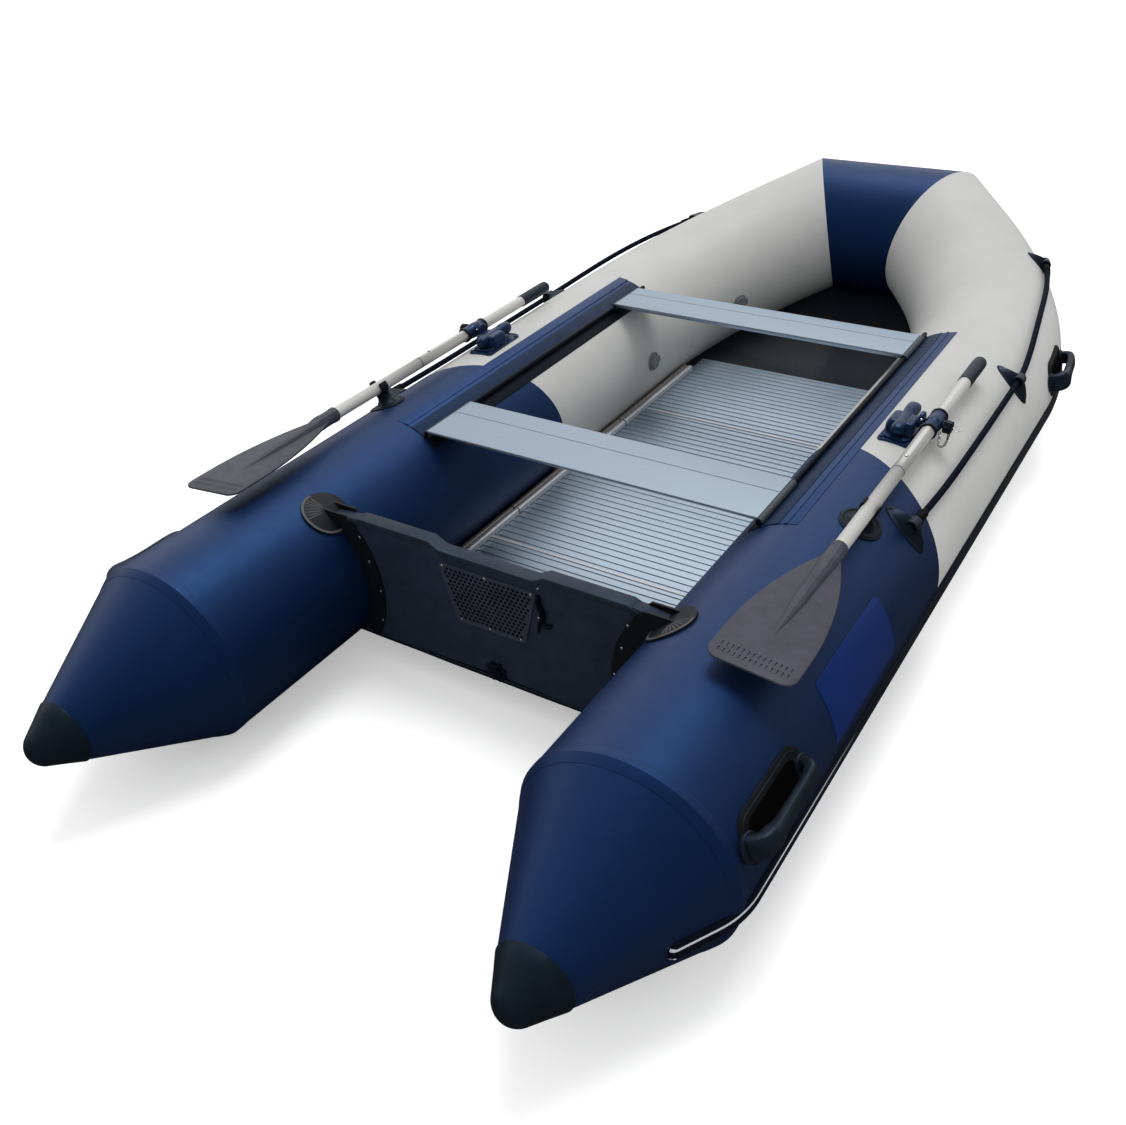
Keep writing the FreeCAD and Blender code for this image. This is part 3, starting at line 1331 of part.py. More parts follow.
def build_oar():
    """Everything on one oar: collar, shaft, blade, grip and snap button."""
    across = at(-2 * size("collar_radius"), 0, 0, OUTBOARD)
    crossing = primitive(
        "Cylinder", "SpindleHole", oar_frame() * across,
        Radius="spindle_radius + fit_clearance", Height="4*collar_radius",
    )
    thin = "collar_radius - collar_rim"
    sleeve = oar_rod("CollarSleeve", -size("collar_aft"), "collar_aft + collar_forward", thin)
    rims = [
        oar_rod("CollarRim", start, "collar_rim_width", "collar_radius")
        for start in (-size("collar_aft"), size("collar_forward") - size("collar_rim_width"))
    ]
    waist = oar_rod("CollarWaist", -2 * size("spindle_radius"), "4*spindle_radius", "collar_radius")
    through = "collar_aft + collar_forward + %r" % (2 * CUT_OVERRUN)
    bore = oar_rod("CollarBore", -size("collar_aft") - CUT_OVERRUN, through, "shaft_radius")
    keep_pair("oar_collar", carved("Collar", joined("CollarSolid", sleeve, waist, *rims), bore, crossing))
    build_shaft(crossing)
    build_blade()
    grip = new_body("GripBlank", oar_frame() * at(0, size("grip_start"), 0, FORWARD))
    pad(grip, circle(grip, "XY_Plane", "grip_radius"), "grip_end - grip_start")
    round_edges(grip, "grip_edge", lambda edge: edge.Closed and edge.Vertexes[0].Point.z > CUT_OVERRUN)
    deep = "grip_end - grip_cap - grip_start + %r" % CUT_OVERRUN
    hollow = oar_rod("GripBore", size("grip_start") - CUT_OVERRUN, deep, "shaft_radius")
    keep_pair("oar_grip", carved("Grip", grip, hollow))
    top = size("shaft_radius") + size("button_proud")
    pin = primitive(
        "Cylinder", "ButtonPin", oar_frame() * shift(0, -size("button_place"), top - size("button_length")),
        Radius="button_radius", Height="button_length",
    )
    foot = primitive(
        "Cylinder", "ButtonFoot", oar_frame() * shift(0, -size("button_place"), top - size("button_length")),
        Radius="button_foot_radius", Height="button_foot",
    )
    keep_pair("oar_button", joined("Button", pin, foot))


def build_clip():
    """Rubber saddle on the tube that the stowed shaft snaps into."""
    frame = oar_frame()
    away = frame.Base - Vector(size("tube_offset"), frame.Base.y, size("tube_radius"))
    angle = math.degrees(math.atan2(away.z, away.x))
    lift = away.Length - size("tube_radius")
    y = frame.Base.y - size("clip_place")
    disc = round_patch("ClipDisc", "clip_disc_radius", "clip_disc_thickness", angle, y)
    stand = on_side(angle, y)
    stem = primitive(
        "Cone", "ClipStem", stand * shift(0, 0, -size("clip_disc_thickness")),
        Radius1="clip_stem_radius", Radius2="clip_length/2", Height=repr(lift - size("shaft_radius")),
    )
    ring_place = stand * at(0, -size("clip_length") / 2, lift, FORWARD)
    inner = "shaft_radius + clip_clearance"
    outer = primitive(
        "Cylinder", "ClipOuter", ring_place,
        Radius=inner + " + clip_wall", Height="clip_length",
    )
    hollow_place = ring_place * shift(0, 0, -size("clip_length"))
    hollow = primitive("Cylinder", "ClipHollow", hollow_place, Radius=inner, Height="3*clip_length")
    gap = size("clip_inboard_angle") - size("clip_outboard_angle")
    turn = at(0, 0, 0, Rotation(Vector(0, 0, 1), -size("clip_inboard_angle")))
    mouth = primitive(
        "Cylinder", "ClipMouth", ring_place * turn,
        Radius="2*(%s + clip_wall)" % inner, Height="clip_length", Angle=repr(gap),
    )
    solid = carved("ClipSolid", joined("ClipBody", disc, stem, outer), hollow, mouth)
    keep_pair("oar_clip", carved("Clip", solid, doc.getObject("HullTubes")))


# ---- lifelines ----

# Starboard lifeline's corners, each with its angle round the tube and its height above it.
# Those near the aft eye go by the distance ahead of it, those near the middle eye by the
# distance ahead of that one, and the rest by their turn round the bow bend.
ROPE_AFT = [(0, 47.0, 15.5), (122, 44.4, 15.0), (302, 43.0, 14.5)]
ROPE_MIDDLE = [(-40, 43.1, 15.4), (40, 43.6, 15.4), (166, 47.8, 14.0)]
ROPE_BOW = [
    (4.5, 52.4, 13.5), (11.5, 53.0, 13.5), (19.0, 48.6, 13.5), (26.5, 40.6, 14.5), (31.55, 35.36, 15.5),
]


def rope_corners():
    """From inside the aft eye, through the middle one and over the bow bend to the third."""
    aft_eye_y = along(size("aft_eye_station"))
    mid_eye_y = worked("bend_start") - size("mid_eye_setback")
    corners = []
    for ahead, angle, lift in ROPE_AFT:
        corners.append(on_side(angle, aft_eye_y + ahead - (0 if ahead else size("rope_tail")), lift))
    for ahead, angle, lift in ROPE_MIDDLE:
        corners.append(on_side(angle, mid_eye_y + ahead, lift))
    for turn, angle, lift in ROPE_BOW:
        corners.append(on_bend(turn, angle, lift))
    return [frame.Base for frame in corners]


def rope_path(corners):
    """Straight runs joined by tangent arcs; each arc is as large as its shorter run allows."""
    edges = []
    start = corners[0]
    for before, corner, after in zip(corners, corners[1:], corners[2:]):
        back, ahead = before - corner, after - corner
        setback = 0.45 * min(back.Length, ahead.Length)
        half_turn = (math.pi - back.getAngle(ahead)) / 2
        radius = setback / math.tan(half_turn)
        back.normalize()
        ahead.normalize()
        first, last = corner + back * setback, corner + ahead * setback
        inward = (back + ahead).normalize()
        middle = corner + inward * (radius / math.cos(half_turn) - radius)
        print("lifeline bend radius", round(radius))
        edges.append(Part.LineSegment(start, first).toShape())
        edges.append(Part.Arc(first, middle, last).toShape())
        start = last
    edges.append(Part.LineSegment(start, corners[-1]).toShape())
    return Part.Wire(edges)


def leaf(name, frame, length, width):
    """A tall lens that lies across its frame, pointed at both ends."""
    half_length, half_width = size(length) / 2, size(width) / 2
    arc = (half_length ** 2 + half_width ** 2) / (2 * half_width)
    sides = []
    for ahead in (half_width - arc, arc - half_width):
        place = frame * shift(0, ahead, -half_length)
        sides.append(primitive("Cylinder", name + "Side", place, Radius=repr(arc), Height=length))
    return shared(name, sides[0], sides[1])


def splice(name, start, toward):
    """The thicker end of the rope, where its tail is worked back into it."""
    along_rope = (toward - start).normalize()
    turn = Rotation(Vector(0, 0, 1), along_rope)
    place = Placement(start + along_rope * size("splice_start"), turn)
    return primitive("Cylinder", name, place, Radius="splice_radius", Height="splice_length")


def build_lifelines():
    """Rope threaded through three glued eyes on each side and spliced at both ends."""
    on_aft = on_side(size("aft_eye_angle"), along(size("aft_eye_station")))
    on_mid = on_side(size("mid_eye_angle"), worked("bend_start") - size("mid_eye_setback"))
    on_bow = on_bend(size("bow_eye_turn_angle"), size("bow_eye_angle"))
    places = [
        ("Aft", on_aft, "aft_eye_twist_angle", tube_wrap),
        ("Mid", on_mid, "mid_eye_twist_angle", tube_wrap),
        ("Bow", on_bow, "bow_eye_twist_angle", bend_wrap),
    ]
    eyes = []
    for end, stand, twist, wrap in places:
        name = "Eye" + end
        frame = stand * at(0, 0, 0, Rotation(Vector(0, 0, 1), -size(twist)))
        lens = leaf(name + "Leaf", frame, "eye_length", "eye_width")
        patch = shared(name + "Patch", lens, wrap(name + "Wrap", "eye_thickness"))
        roof = new_body(name + "Roof", frame)
        crest = "rope_lift + tent_ridge"
        corners = [("-tent_length/2", "-tent_foot"), ("tent_length/2", "-tent_foot")]
        corners += [("tent_ridge", crest), ("-tent_ridge", crest)]
        pad(roof, outline(roof, "XZ_Plane", corners), "eye_width", both_ways=True)
        tent = shared(name + "Tent", roof, leaf(name + "TentLeaf", frame, "tent_length", "tent_width"))
        back = -size("eye_hump_length") / 2
        hump = primitive(
            "Cylinder", name + "Hump", frame * at(0, back, size("rope_lift"), FORWARD),
            Radius="eye_hump_radius", Height="eye_hump_length",
        )
        hole = primitive(
            "Cylinder", name + "Hole", frame * at(0, -size("eye_width"), size("rope_lift"), FORWARD),
            Radius="rope_radius + rope_clearance", Height="2*eye_width",
        )
        solid = joined(name + "Solid", patch, tent, hump)
        eyes.append(carved(name, solid, hole, doc.getObject("HullTubes")))
    eyes += [mirrored(eye.Name + "Port", eye) for eye in eyes]
    keep("lifeline_eyes", grouped("LifelineEyes", *eyes))
    corners = rope_corners()
    wire = rope_path(corners)
    start = corners[0]
    along_first = corners[1] - start
    ring = Part.Wire(Part.Circle(start, along_first, size("rope_radius")).toShape())
    tube = wire.makePipeShell([ring], True, False)
    expected = math.pi * size("rope_radius") ** 2 * wire.Length
    print("lifeline volume", round(tube.Volume), "section times length", round(expected))
    print("lifeline length", round(wire.Length))
    rope = doc.addObject("Part::Feature", "Rope")
    rope.Shape = tube
    splices = [
        splice("RopeSpliceAft", corners[0], corners[1]),
        splice("RopeSpliceBow", corners[-1], corners[-2]),
    ]
    keep_pair("lifeline", joined("Lifeline", rope, *splices))


# ---- carrying handles ----


def carry_handle(name, frame, wrap, length):
    """A glued pad with a thick grip that stands off it on two swollen ends."""
    prism = plate(name + "Prism", "handle_width", length, "handle_corner", "tube_radius", frame)
    patch = shared(name + "Patch", prism, wrap(name + "Wrap", "handle_thickness"))
    reach = size(length) / 2 - size("handle_boot_radius") - size("handle_thickness") * 2
    lift = size("handle_bar_lift")
    bar = primitive(
        "Cylinder", name + "Bar", frame * at(0, -reach, lift, FORWARD),
        Radius="handle_bar_radius", Height=repr(2 * reach),
    )
    solids = [patch, bar]
    for y, radius in ((-reach, "handle_heel_radius"), (reach, "handle_knob_radius")):
        boot = primitive(
            "Cone", name + "Boot", frame * shift(0, y, -size("handle_thickness")),
            Radius1="handle_boot_radius", Radius2="handle_bar_radius",
            Height="handle_bar_lift + handle_thickness",
        )
        knob = primitive("Sphere", name + "Knob", frame * shift(0, y, lift), Radius=radius)
        solids += [boot, knob]
    return carved(name, joined(name + "Solid", *solids), doc.getObject("HullTubes"))


def build_handles():
    """Two handles near the stern and two on the bow bends."""
    aft_y = along(size("cone_length") + size("aft_handle_setback"))
    aft = on_side(size("aft_handle_angle"), aft_y)
    handle = carry_handle("HandleAft", aft, tube_wrap, "aft_handle_length")
    keep("carry_handles_aft", grouped("HandlesAft", handle, mirrored("HandleAftPort", handle)))
    bow = on_bend(size("bow_handle_turn_angle"), size("bow_handle_angle"))
    handle = carry_handle("HandleBow", bow, bend_wrap, "bow_handle_length")
    keep("carry_handles_bow", grouped("HandlesBow", handle, mirrored("HandleBowPort", handle)))


# ---- towing ring ----


def build_tow_ring():
    """D-shaped ring in a moulded lug under the bow."""
    turn = Rotation(Vector(1, 0, 0), size("tow_angle") - 90)
    frame = Placement(CORNER, Rotation()) * shift(-CORNER.x, 0, 0) * at(0, 0, 0, turn)
    frame = frame * shift(0, 0, size("tube_radius"))
    depth = size("tow_disc_radius")
    prism = primitive(
        "Cylinder", "TowPrism", frame * shift(0, 0, -depth),
        Radius="tow_disc_radius", Height="2*tow_disc_radius",
    )
    sleeve = primitive(
        "Cylinder", "TowWrap", at(-2 * depth, CORNER.y, CORNER.z, OUTBOARD),
        Radius="tube_radius + tow_disc_thickness", Height="4*tow_disc_radius",
    )
    disc = shared("TowDisc", prism, sleeve)
    lift = size("tow_lug_lift")
    half = size("tow_lug_width") / 2
    lug = primitive(
        "Cylinder", "TowLug", frame * at(-half, 0, lift, OUTBOARD),
        Radius="tow_lug_radius", Height="tow_lug_width",
    )
    lug_foot = primitive(
        "Box", "TowLugFoot", frame * shift(-half, -size("tow_lug_radius"), -lift),
        Length="tow_lug_width", Width="2*tow_lug_radius", Height="2*tow_lug_lift",
    )
    hole = primitive(
        "Cylinder", "TowHole", frame * at(-2 * half, 0, lift, OUTBOARD),
        Radius="tow_wire_radius + fit_clearance", Height="2*tow_lug_width",
    )
    solid = joined("TowSolid", disc, lug, lug_foot)
    keep("tow_ring_patch", carved("TowPatch", solid, hole, doc.getObject("HullTubes")))
    eye = (frame * shift(0, 0, lift)).Base
    hang = at(eye.x, eye.y, eye.z, Rotation(Vector(1, 0, 0), -90))
    bow_part = primitive(
        "Torus", "TowRingBow", hang, Radius1="tow_ring_radius", Radius2="tow_wire_radius", Angle3="180",
    )
    bar = primitive(
        "Cylinder", "TowRingBar", at(eye.x - size("tow_ring_radius"), eye.y, eye.z, OUTBOARD),
        Radius="tow_wire_radius", Height="2*tow_ring_radius",
    )
    ends = [
        primitive("Sphere", "TowRingEnd", at(eye.x + side, eye.y, eye.z), Radius="tow_wire_radius")
        for side in (-size("tow_ring_radius"), size("tow_ring_radius"))
    ]
    keep("tow_ring", joined("TowRing", bow_part, bar, *ends))


# ---- the whole boat ----


hull_tubes, mitre_knife = build_tubes()
stern_cone = build_cones()
build_strake(hull_tubes, stern_cone, mitre_knife)
build_bottom(hull_tubes)
build_transom()
build_drain()
build_valves(hull_tubes)
build_floor()
build_rails()
build_bench("bench_aft", "BenchAft", along(size("aft_bench_station")), "aft_bench_width")
front_bench_y = worked("bend_start") - size("front_bench_setback")
build_bench("bench_front", "BenchFront", front_bench_y, "front_bench_width")
build_rowlock()
build_oar()
build_clip()
build_lifelines()
build_handles()
build_tow_ring()
doc.recompute()

faults = [thing.Name for thing in doc.Objects if "Invalid" in thing.State or "Error" in thing.State]
for part in KEPT:
    if part.Shape.isNull() or not part.Shape.isValid() or not part.Shape.Solids:
        faults.append(part.Label)
if faults:
    raise RuntimeError("these did not build: " + ", ".join(faults))

os.makedirs("parts", exist_ok=True)
for part in KEPT:
    part.Shape.exportStep("parts/%s.step" % part.Label)
    print(part.Label, len(part.Shape.Solids), "solids,", round(part.Shape.Volume / 1000, 1), "cm3")
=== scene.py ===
import math

import bmesh
import bpy
from mathutils import Matrix, Vector, noise


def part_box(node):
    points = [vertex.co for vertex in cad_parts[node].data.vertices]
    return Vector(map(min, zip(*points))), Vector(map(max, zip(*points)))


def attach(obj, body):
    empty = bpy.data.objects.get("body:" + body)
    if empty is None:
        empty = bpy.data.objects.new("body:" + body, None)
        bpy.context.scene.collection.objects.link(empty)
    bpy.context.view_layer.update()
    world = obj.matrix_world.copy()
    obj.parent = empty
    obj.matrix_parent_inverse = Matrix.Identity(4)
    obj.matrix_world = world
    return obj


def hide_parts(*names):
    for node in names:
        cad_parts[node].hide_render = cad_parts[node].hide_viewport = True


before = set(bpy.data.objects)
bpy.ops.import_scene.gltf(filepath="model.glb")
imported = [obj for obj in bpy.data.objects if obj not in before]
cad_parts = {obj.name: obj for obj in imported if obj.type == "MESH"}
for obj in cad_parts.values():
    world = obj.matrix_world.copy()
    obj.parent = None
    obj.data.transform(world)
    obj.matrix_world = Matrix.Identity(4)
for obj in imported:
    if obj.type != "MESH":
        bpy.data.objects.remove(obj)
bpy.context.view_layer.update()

# Inflatable dinghy. +Y is the bow, +X starboard, +Z up, in metres.
# Angles on a side tube: 0 outboard, 90 on top, 180 inboard.

sides = {"starboard": 1, "port": -1}
tubeLow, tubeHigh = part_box("tube_aft_starboard")
tubeRadius = (tubeHigh.z - tubeLow.z) / 2
tubeOffset = (tubeHigh.x + tubeLow.x) / 2
coneLow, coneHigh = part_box("stern_cone_starboard")
capLow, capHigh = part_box("cone_cap_starboard")
bowLow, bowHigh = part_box("tube_bow_centre")
cornerY = (bowLow.y + bowHigh.y) / 2
cornerZ = (bowLow.z + bowHigh.z) / 2

bend = {"radius": 0.955, "angle": 47.25, "tilt": 23.4, "straight": 0.121}  # the tube's turn to the bow
split = {"y": -0.194, "slant": 28.8}                                    # where the two colours meet


def rad(degrees):
    return math.radians(degrees)


bendTurn, bendTilt = rad(bend["angle"]), rad(bend["tilt"])
bendLong = bend["radius"] * bendTurn                       # along the tube's axis
tiltTurn = Matrix.Rotation(bendTilt, 4, "Y")
bendForward = bend["radius"] * math.sin(bendTurn) + bend["straight"] * math.cos(bendTurn)
bendInward = bend["radius"] * (1 - math.cos(bendTurn)) + bend["straight"] * math.sin(bendTurn)
bendStart = cornerY - bendForward
corner = Vector((tubeOffset - bendInward * math.cos(bendTilt), cornerY, cornerZ))
bendEnd = (tiltTurn @ Vector((-math.sin(bendTurn), math.cos(bendTurn), 0))).normalized()
mitreNormal = (bendEnd + Vector((-1, 0, 0))).normalized()
bendFrame = Matrix.Translation((tubeOffset, bendStart, tubeRadius)) @ tiltTurn


def moved(x, y, z):
    return Matrix.Translation((x, y, z))


def spun(degrees, axis):
    return Matrix.Rotation(rad(degrees), 4, axis)


# Frame on the starboard tube: Z out of it, Y forward
def onSide(angle, y):
    return moved(tubeOffset, y, tubeRadius) @ spun(90 - angle, "Y") @ moved(0, 0, tubeRadius)


# The point, or its twin on the starboard side
def starboard(point):
    return Vector((abs(point.x), point.y, point.z))


# Camera and cords

cameraSettings = {
    "place": (1.2221, -2.377, 1.6575),
    "turn": (55.935, 3.356, 32.553),
    "lens": 36.18,
    "sensor": 36.0,
}
lens = bpy.data.cameras.new("camera")
lens.lens = cameraSettings["lens"]
lens.sensor_width = cameraSettings["sensor"]
camera = bpy.data.objects.new("camera", lens)
camera.location = cameraSettings["place"]
camera.rotation_euler = [rad(angle) for angle in cameraSettings["turn"]]
bpy.context.scene.collection.objects.link(camera)
bpy.context.scene.camera = camera

rope = {
    "route": [
        (0.7048, -0.3720, 0.3749),
        (0.7118, -0.2400, 0.3674),
        (0.7152, -0.0600, 0.3631),
        (0.7156, 0.3940, 0.3640),
        (0.7142, 0.4740, 0.3654),
        (0.7015, 0.6000, 0.3759),
        (0.6845, 0.7210, 0.3883),
        (0.6669, 0.8426, 0.3965),
        (0.6476, 0.9751, 0.3998),
        (0.6199, 1.1118, 0.4001),
        (0.5895, 1.2026, 0.4034),
    ],
    "radius": 0.0075,
    "length": 1.588,
    "strands": 8,
    "pitch": 0.042,     # along the rope, for one turn of a strand
    "relief": 0.0011,
    "around": 32,
    "stride": 0.0024,
}


def ropeLine(name, side):
    curve = bpy.data.curves.new(name, "CURVE")
    curve.dimensions = "3D"
    line = curve.splines.new("NURBS")
    line.points.add(len(rope["route"]) - 1)
    for point, (x, y, z) in zip(line.points, rope["route"]):
        point.co = (side * x, y, z, 1)
    line.order_u = 3
    line.use_endpoint_u = True
    line.resolution_u = 150
    return curve


# Points along the rope's own smooth line
def ropePath(side):
    curve = ropeLine("ropeLine", side)
    guide = bpy.data.objects.new("ropeLine", curve)
    bpy.context.scene.collection.objects.link(guide)
    mesh = bpy.data.meshes.new_from_object(guide)
    points = [vertex.co.copy() for vertex in mesh.vertices]
    bpy.data.objects.remove(guide)
    bpy.data.meshes.remove(mesh)
    bpy.data.curves.remove(curve)
    return points


# Materials


def newMaterial(name):
    material = bpy.data.materials.new(name)
    material.use_nodes = True
    tree = material.node_tree
    return material, tree.nodes, tree.links, tree.nodes["Principled BSDF"]


def coordsFrom(nodes, links, kind="Object", scale=(1, 1, 1)):
    coords = nodes.new("ShaderNodeTexCoord")
    mapping = nodes.new("ShaderNodeMapping")
    mapping.inputs["Scale"].default_value = scale
    links.new(coords.outputs[kind], mapping.inputs["Vector"])
    return mapping.outputs["Vector"]


# Link a socket, or write a plain value
def feed(links, value, socket):
    if isinstance(value, bpy.types.NodeSocket):
        links.new(value, socket)
    else:
        socket.default_value = value


def mathOf(nodes, links, operation, *values):
    node = nodes.new("ShaderNodeMath")
    node.operation = operation
    for value, socket in zip(values, node.inputs):
        feed(links, value, socket)
    return node.outputs[0]


# Colour between two colours, each a socket or a tuple
def mixOf(nodes, links, share, first, second):
    node = nodes.new("ShaderNodeMix")
    node.data_type = "RGBA"
    for value, index in ((share, 0), (first, 6), (second, 7)):
        feed(links, value, node.inputs[index])
    return node.outputs[2]


def axisOf(nodes, links, vector, axis):
    parts = nodes.new("ShaderNodeSeparateXYZ")
    links.new(vector, parts.inputs["Vector"])
    return parts.outputs[axis]


# Two crossing sets of waves over a piece's own cloth coordinates
def wovenWaves(nodes, links, scale, distortion):
    cloth = coordsFrom(nodes, links, "UV")
    waves = []
    for direction in ("X", "Y"):
        wave = nodes.new("ShaderNodeTexWave")
        wave.bands_direction = direction
        wave.inputs["Scale"].default_value = scale
        wave.inputs["Distortion"].default_value = distortion
        links.new(cloth, wave.inputs["Vector"])
        waves.append(wave.outputs["Fac"])
    return mathOf(nodes, links, "MULTIPLY", *waves)


def noiseAt(nodes, links, vector, scale, detail=3.0, roughness=0.5):
    texture = nodes.new("ShaderNodeTexNoise")
    texture.inputs["Scale"].default_value = scale
    texture.inputs["Detail"].default_value = detail
    texture.inputs["Roughness"].default_value = roughness
    links.new(vector, texture.inputs["Vector"])
    return texture.outputs["Fac"]


# Colour ramp from a value; stops are (place, colour) pairs
def ramp(nodes, links, value, stops):
    colours = nodes.new("ShaderNodeValToRGB")
    elements = colours.color_ramp.elements
    stops = list(stops)
    while len(elements) < len(stops):
        elements.new(0.5)
    for element, (place, colour) in zip(elements, stops):
        element.position = place
        element.color = (*colour, 1)
    links.new(value, colours.inputs["Fac"])
    return colours.outputs["Color"]


# Carry a 0 to 1 value to a range
def spread(nodes, links, value, low, high):
    area = nodes.new("ShaderNodeMapRange")
    area.inputs["To Min"].default_value = low
    area.inputs["To Max"].default_value = high
    links.new(value, area.inputs["Value"])
    return area.outputs["Result"]


def bumpFrom(nodes, links, height, strength, distance, before=None):
    node = nodes.new("ShaderNodeBump")
    node.inputs["Strength"].default_value = strength
    node.inputs["Distance"].default_value = distance
    links.new(height, node.inputs["Height"])
    if before:
        links.new(before, node.inputs["Normal"])
    return node.outputs["Normal"]


# Three shades about a colour
def tones(colour, shade):
    return [tuple(channel * (1 + share) for channel in colour) for share in (-shade, 0, shade)]


# Colour that goes from its dark shade to its light one as a pattern rises
def shaded(nodes, links, value, colour, shade, places):
    return ramp(nodes, links, value, zip(places, tones(colour, shade)))


# scale, detail and roughness of each pattern in the coated fabric
fabricLook = {
    "mottle": (5.0, 5.0, 0.6),
    "scuff": (38.0, 4.0, 0.7),
    "ripple": (14.0, 3.0, 0.55),
    "weave": (190.0, 0.4),             # waves to a metre and their distortion
}


# PVC coated fabric: faint mottling, a woven scrim under the coat and a satin gloss
def coatedFabric(name, colour, shade, rough, gloss, tint=(1, 1, 1)):
    material, nodes, links, shader = newMaterial(name)
    solid = coordsFrom(nodes, links)
    mottle = noiseAt(nodes, links, solid, *fabricLook["mottle"])
    links.new(shaded(nodes, links, mottle, colour, shade, (0.3, 0.5, 0.7)), shader.inputs["Base Color"])
    scuff = noiseAt(nodes, links, solid, *fabricLook["scuff"])
    links.new(spread(nodes, links, scuff, rough - 0.06, rough + 0.08), shader.inputs["Roughness"])
    fine = bumpFrom(nodes, links, wovenWaves(nodes, links, *fabricLook["weave"]), 0.12, 0.0003)
    ripple = noiseAt(nodes, links, solid, *fabricLook["ripple"])
    links.new(bumpFrom(nodes, links, ripple, 0.16, 0.004, fine), shader.inputs["Normal"])
    shader.inputs["Specular IOR Level"].default_value = gloss
    shader.inputs["Specular Tint"].default_value = (*tint, 1)
    return material


mouldedLook = {"patches": (24.0, 5.0, 0.65), "handled": (60.0, 3.0, 0.6)}


# Moulded rubber or plastic with a fine spark-eroded grain
def moulded(name, colour, rough, gloss=0.4, grain=700.0, depth=0.0004):
    material, nodes, links, shader = newMaterial(name)
    solid = coordsFrom(nodes, links)
    patches = noiseAt(nodes, links, solid, *mouldedLook["patches"])
    links.new(shaded(nodes, links, patches, colour, 0.22, (0.3, 0.52, 0.75)), shader.inputs["Base Color"])
    handled = noiseAt(nodes, links, solid, *mouldedLook["handled"])
    links.new(spread(nodes, links, handled, rough - 0.07, rough + 0.1), shader.inputs["Roughness"])
    skin = noiseAt(nodes, links, solid, grain, 2.0, 0.5)
    links.new(bumpFrom(nodes, links, skin, 0.25, depth), shader.inputs["Normal"])
    shader.inputs["Specular IOR Level"].default_value = gloss
    return material


drawnLook = {"lines": (1.0, 4.0, 0.65), "bloom": (7.0, 4.0, 0.6), "stretch": 120}


# Extruded aluminium with streaks along the way it was drawn
def drawnAluminium(name, colour, rough, along, streak, shade=0.12, metal=1.0):
    material, nodes, links, shader = newMaterial(name)
    stretch = [streak, streak, streak]
    stretch["XYZ".index(along)] = streak / drawnLook["stretch"]
    lines = noiseAt(nodes, links, coordsFrom(nodes, links, "Object", stretch), *drawnLook["lines"])
    links.new(shaded(nodes, links, lines, colour, shade, (0.25, 0.5, 0.75)), shader.inputs["Base Color"])
    bloom = noiseAt(nodes, links, coordsFrom(nodes, links), *drawnLook["bloom"])
    links.new(spread(nodes, links, bloom, rough - 0.05, rough + 0.07), shader.inputs["Roughness"])
    links.new(bumpFrom(nodes, links, lines, 0.2, 0.00025), shader.inputs["Normal"])
    shader.inputs["Metallic"].default_value = metal
    return material


cordLook = {"yarns": (150.0, 1.2), "fuzz": (90.0, 3.0, 0.6), "shade": 0.45, "gloss": 0.11}


# Braided polypropylene: fine yarns across the rope's own cloth coordinates
def braidedCord(name, colour, rough):
    material, nodes, links, shader = newMaterial(name)
    yarns = wovenWaves(nodes, links, *cordLook["yarns"])
    base = shaded(nodes, links, yarns, colour, cordLook["shade"], (0.0, 0.3, 0.8))
    links.new(base, shader.inputs["Base Color"])
    links.new(bumpFrom(nodes, links, yarns, 0.5, 0.0004), shader.inputs["Normal"])
    fuzz = noiseAt(nodes, links, coordsFrom(nodes, links), *cordLook["fuzz"])
    links.new(spread(nodes, links, fuzz, rough - 0.1, rough + 0.1), shader.inputs["Roughness"])
    shader.inputs["Specular IOR Level"].default_value = cordLook["gloss"]
    return material


# Strake rubber with two pale lines along its beads, painted highlights that fade out from the stern forwards
def highlightLinedRubber(name, colour, beadHighlights):
    material, nodes, links, shader = newMaterial(name)
    solid = coordsFrom(nodes, links)
    patches = noiseAt(nodes, links, solid, 30.0, 4.0, 0.6)
    base = shaded(nodes, links, patches, colour, 0.25, (0.3, 0.5, 0.75))
    cloth = coordsFrom(nodes, links, "UV")
    across = mathOf(nodes, links, "ABSOLUTE", axisOf(nodes, links, cloth, "Y"))
    onHighlightLine = mathOf(nodes, links, "COMPARE", across, beadHighlights["across"], beadHighlights["halfWide"])
    fade = nodes.new("ShaderNodeMapRange")
    fade.inputs["From Min"].default_value = beadHighlights["gone"]
    fade.inputs["From Max"].default_value = beadHighlights["whole"]
    links.new(axisOf(nodes, links, cloth, "X"), fade.inputs["Value"])
    # pale lines on the beads: painted highlights, fading forwards along the strake
    shown = mathOf(nodes, links, "MULTIPLY", onHighlightLine, fade.outputs["Result"])
    links.new(mixOf(nodes, links, shown, base, (*beadHighlights["colour"], 1)), shader.inputs["Base Color"])
    scuff = noiseAt(nodes, links, solid, 50.0, 3.0, 0.6)
    links.new(spread(nodes, links, scuff, 0.36, 0.52), shader.inputs["Roughness"])
    skin = noiseAt(nodes, links, solid, 500.0, 2.0, 0.5)
    links.new(bumpFrom(nodes, links, skin, 0.25, 0.0004), shader.inputs["Normal"])
    shader.inputs["Specular IOR Level"].default_value = 0.12
    return material


navyTint = (0.09, 0.33, 1.0)
coolTint = (0.45, 0.66, 1.0)
blueTint = (0.25, 0.5, 1.0)

# colour, shade, roughness, strength of the gloss and its tint
navyFabric = coatedFabric("navyFabric", (0.0034, 0.0110, 0.042), 0.12, 0.48, 1.0, navyTint)
bandFabric = coatedFabric("bandFabric", (0.008, 0.024, 0.080), 0.12, 0.47, 0.8, navyTint)
greyFabric = coatedFabric("greyFabric", (0.55, 0.555, 0.54), 0.04, 0.50, 0.3)
darkFabric = coatedFabric("darkFabric", (0.008, 0.011, 0.018), 0.16, 0.55, 0.2)
panelFabric = coatedFabric("panelFabric", (0.002, 0.019, 0.125), 0.1, 0.46, 0.4, navyTint)

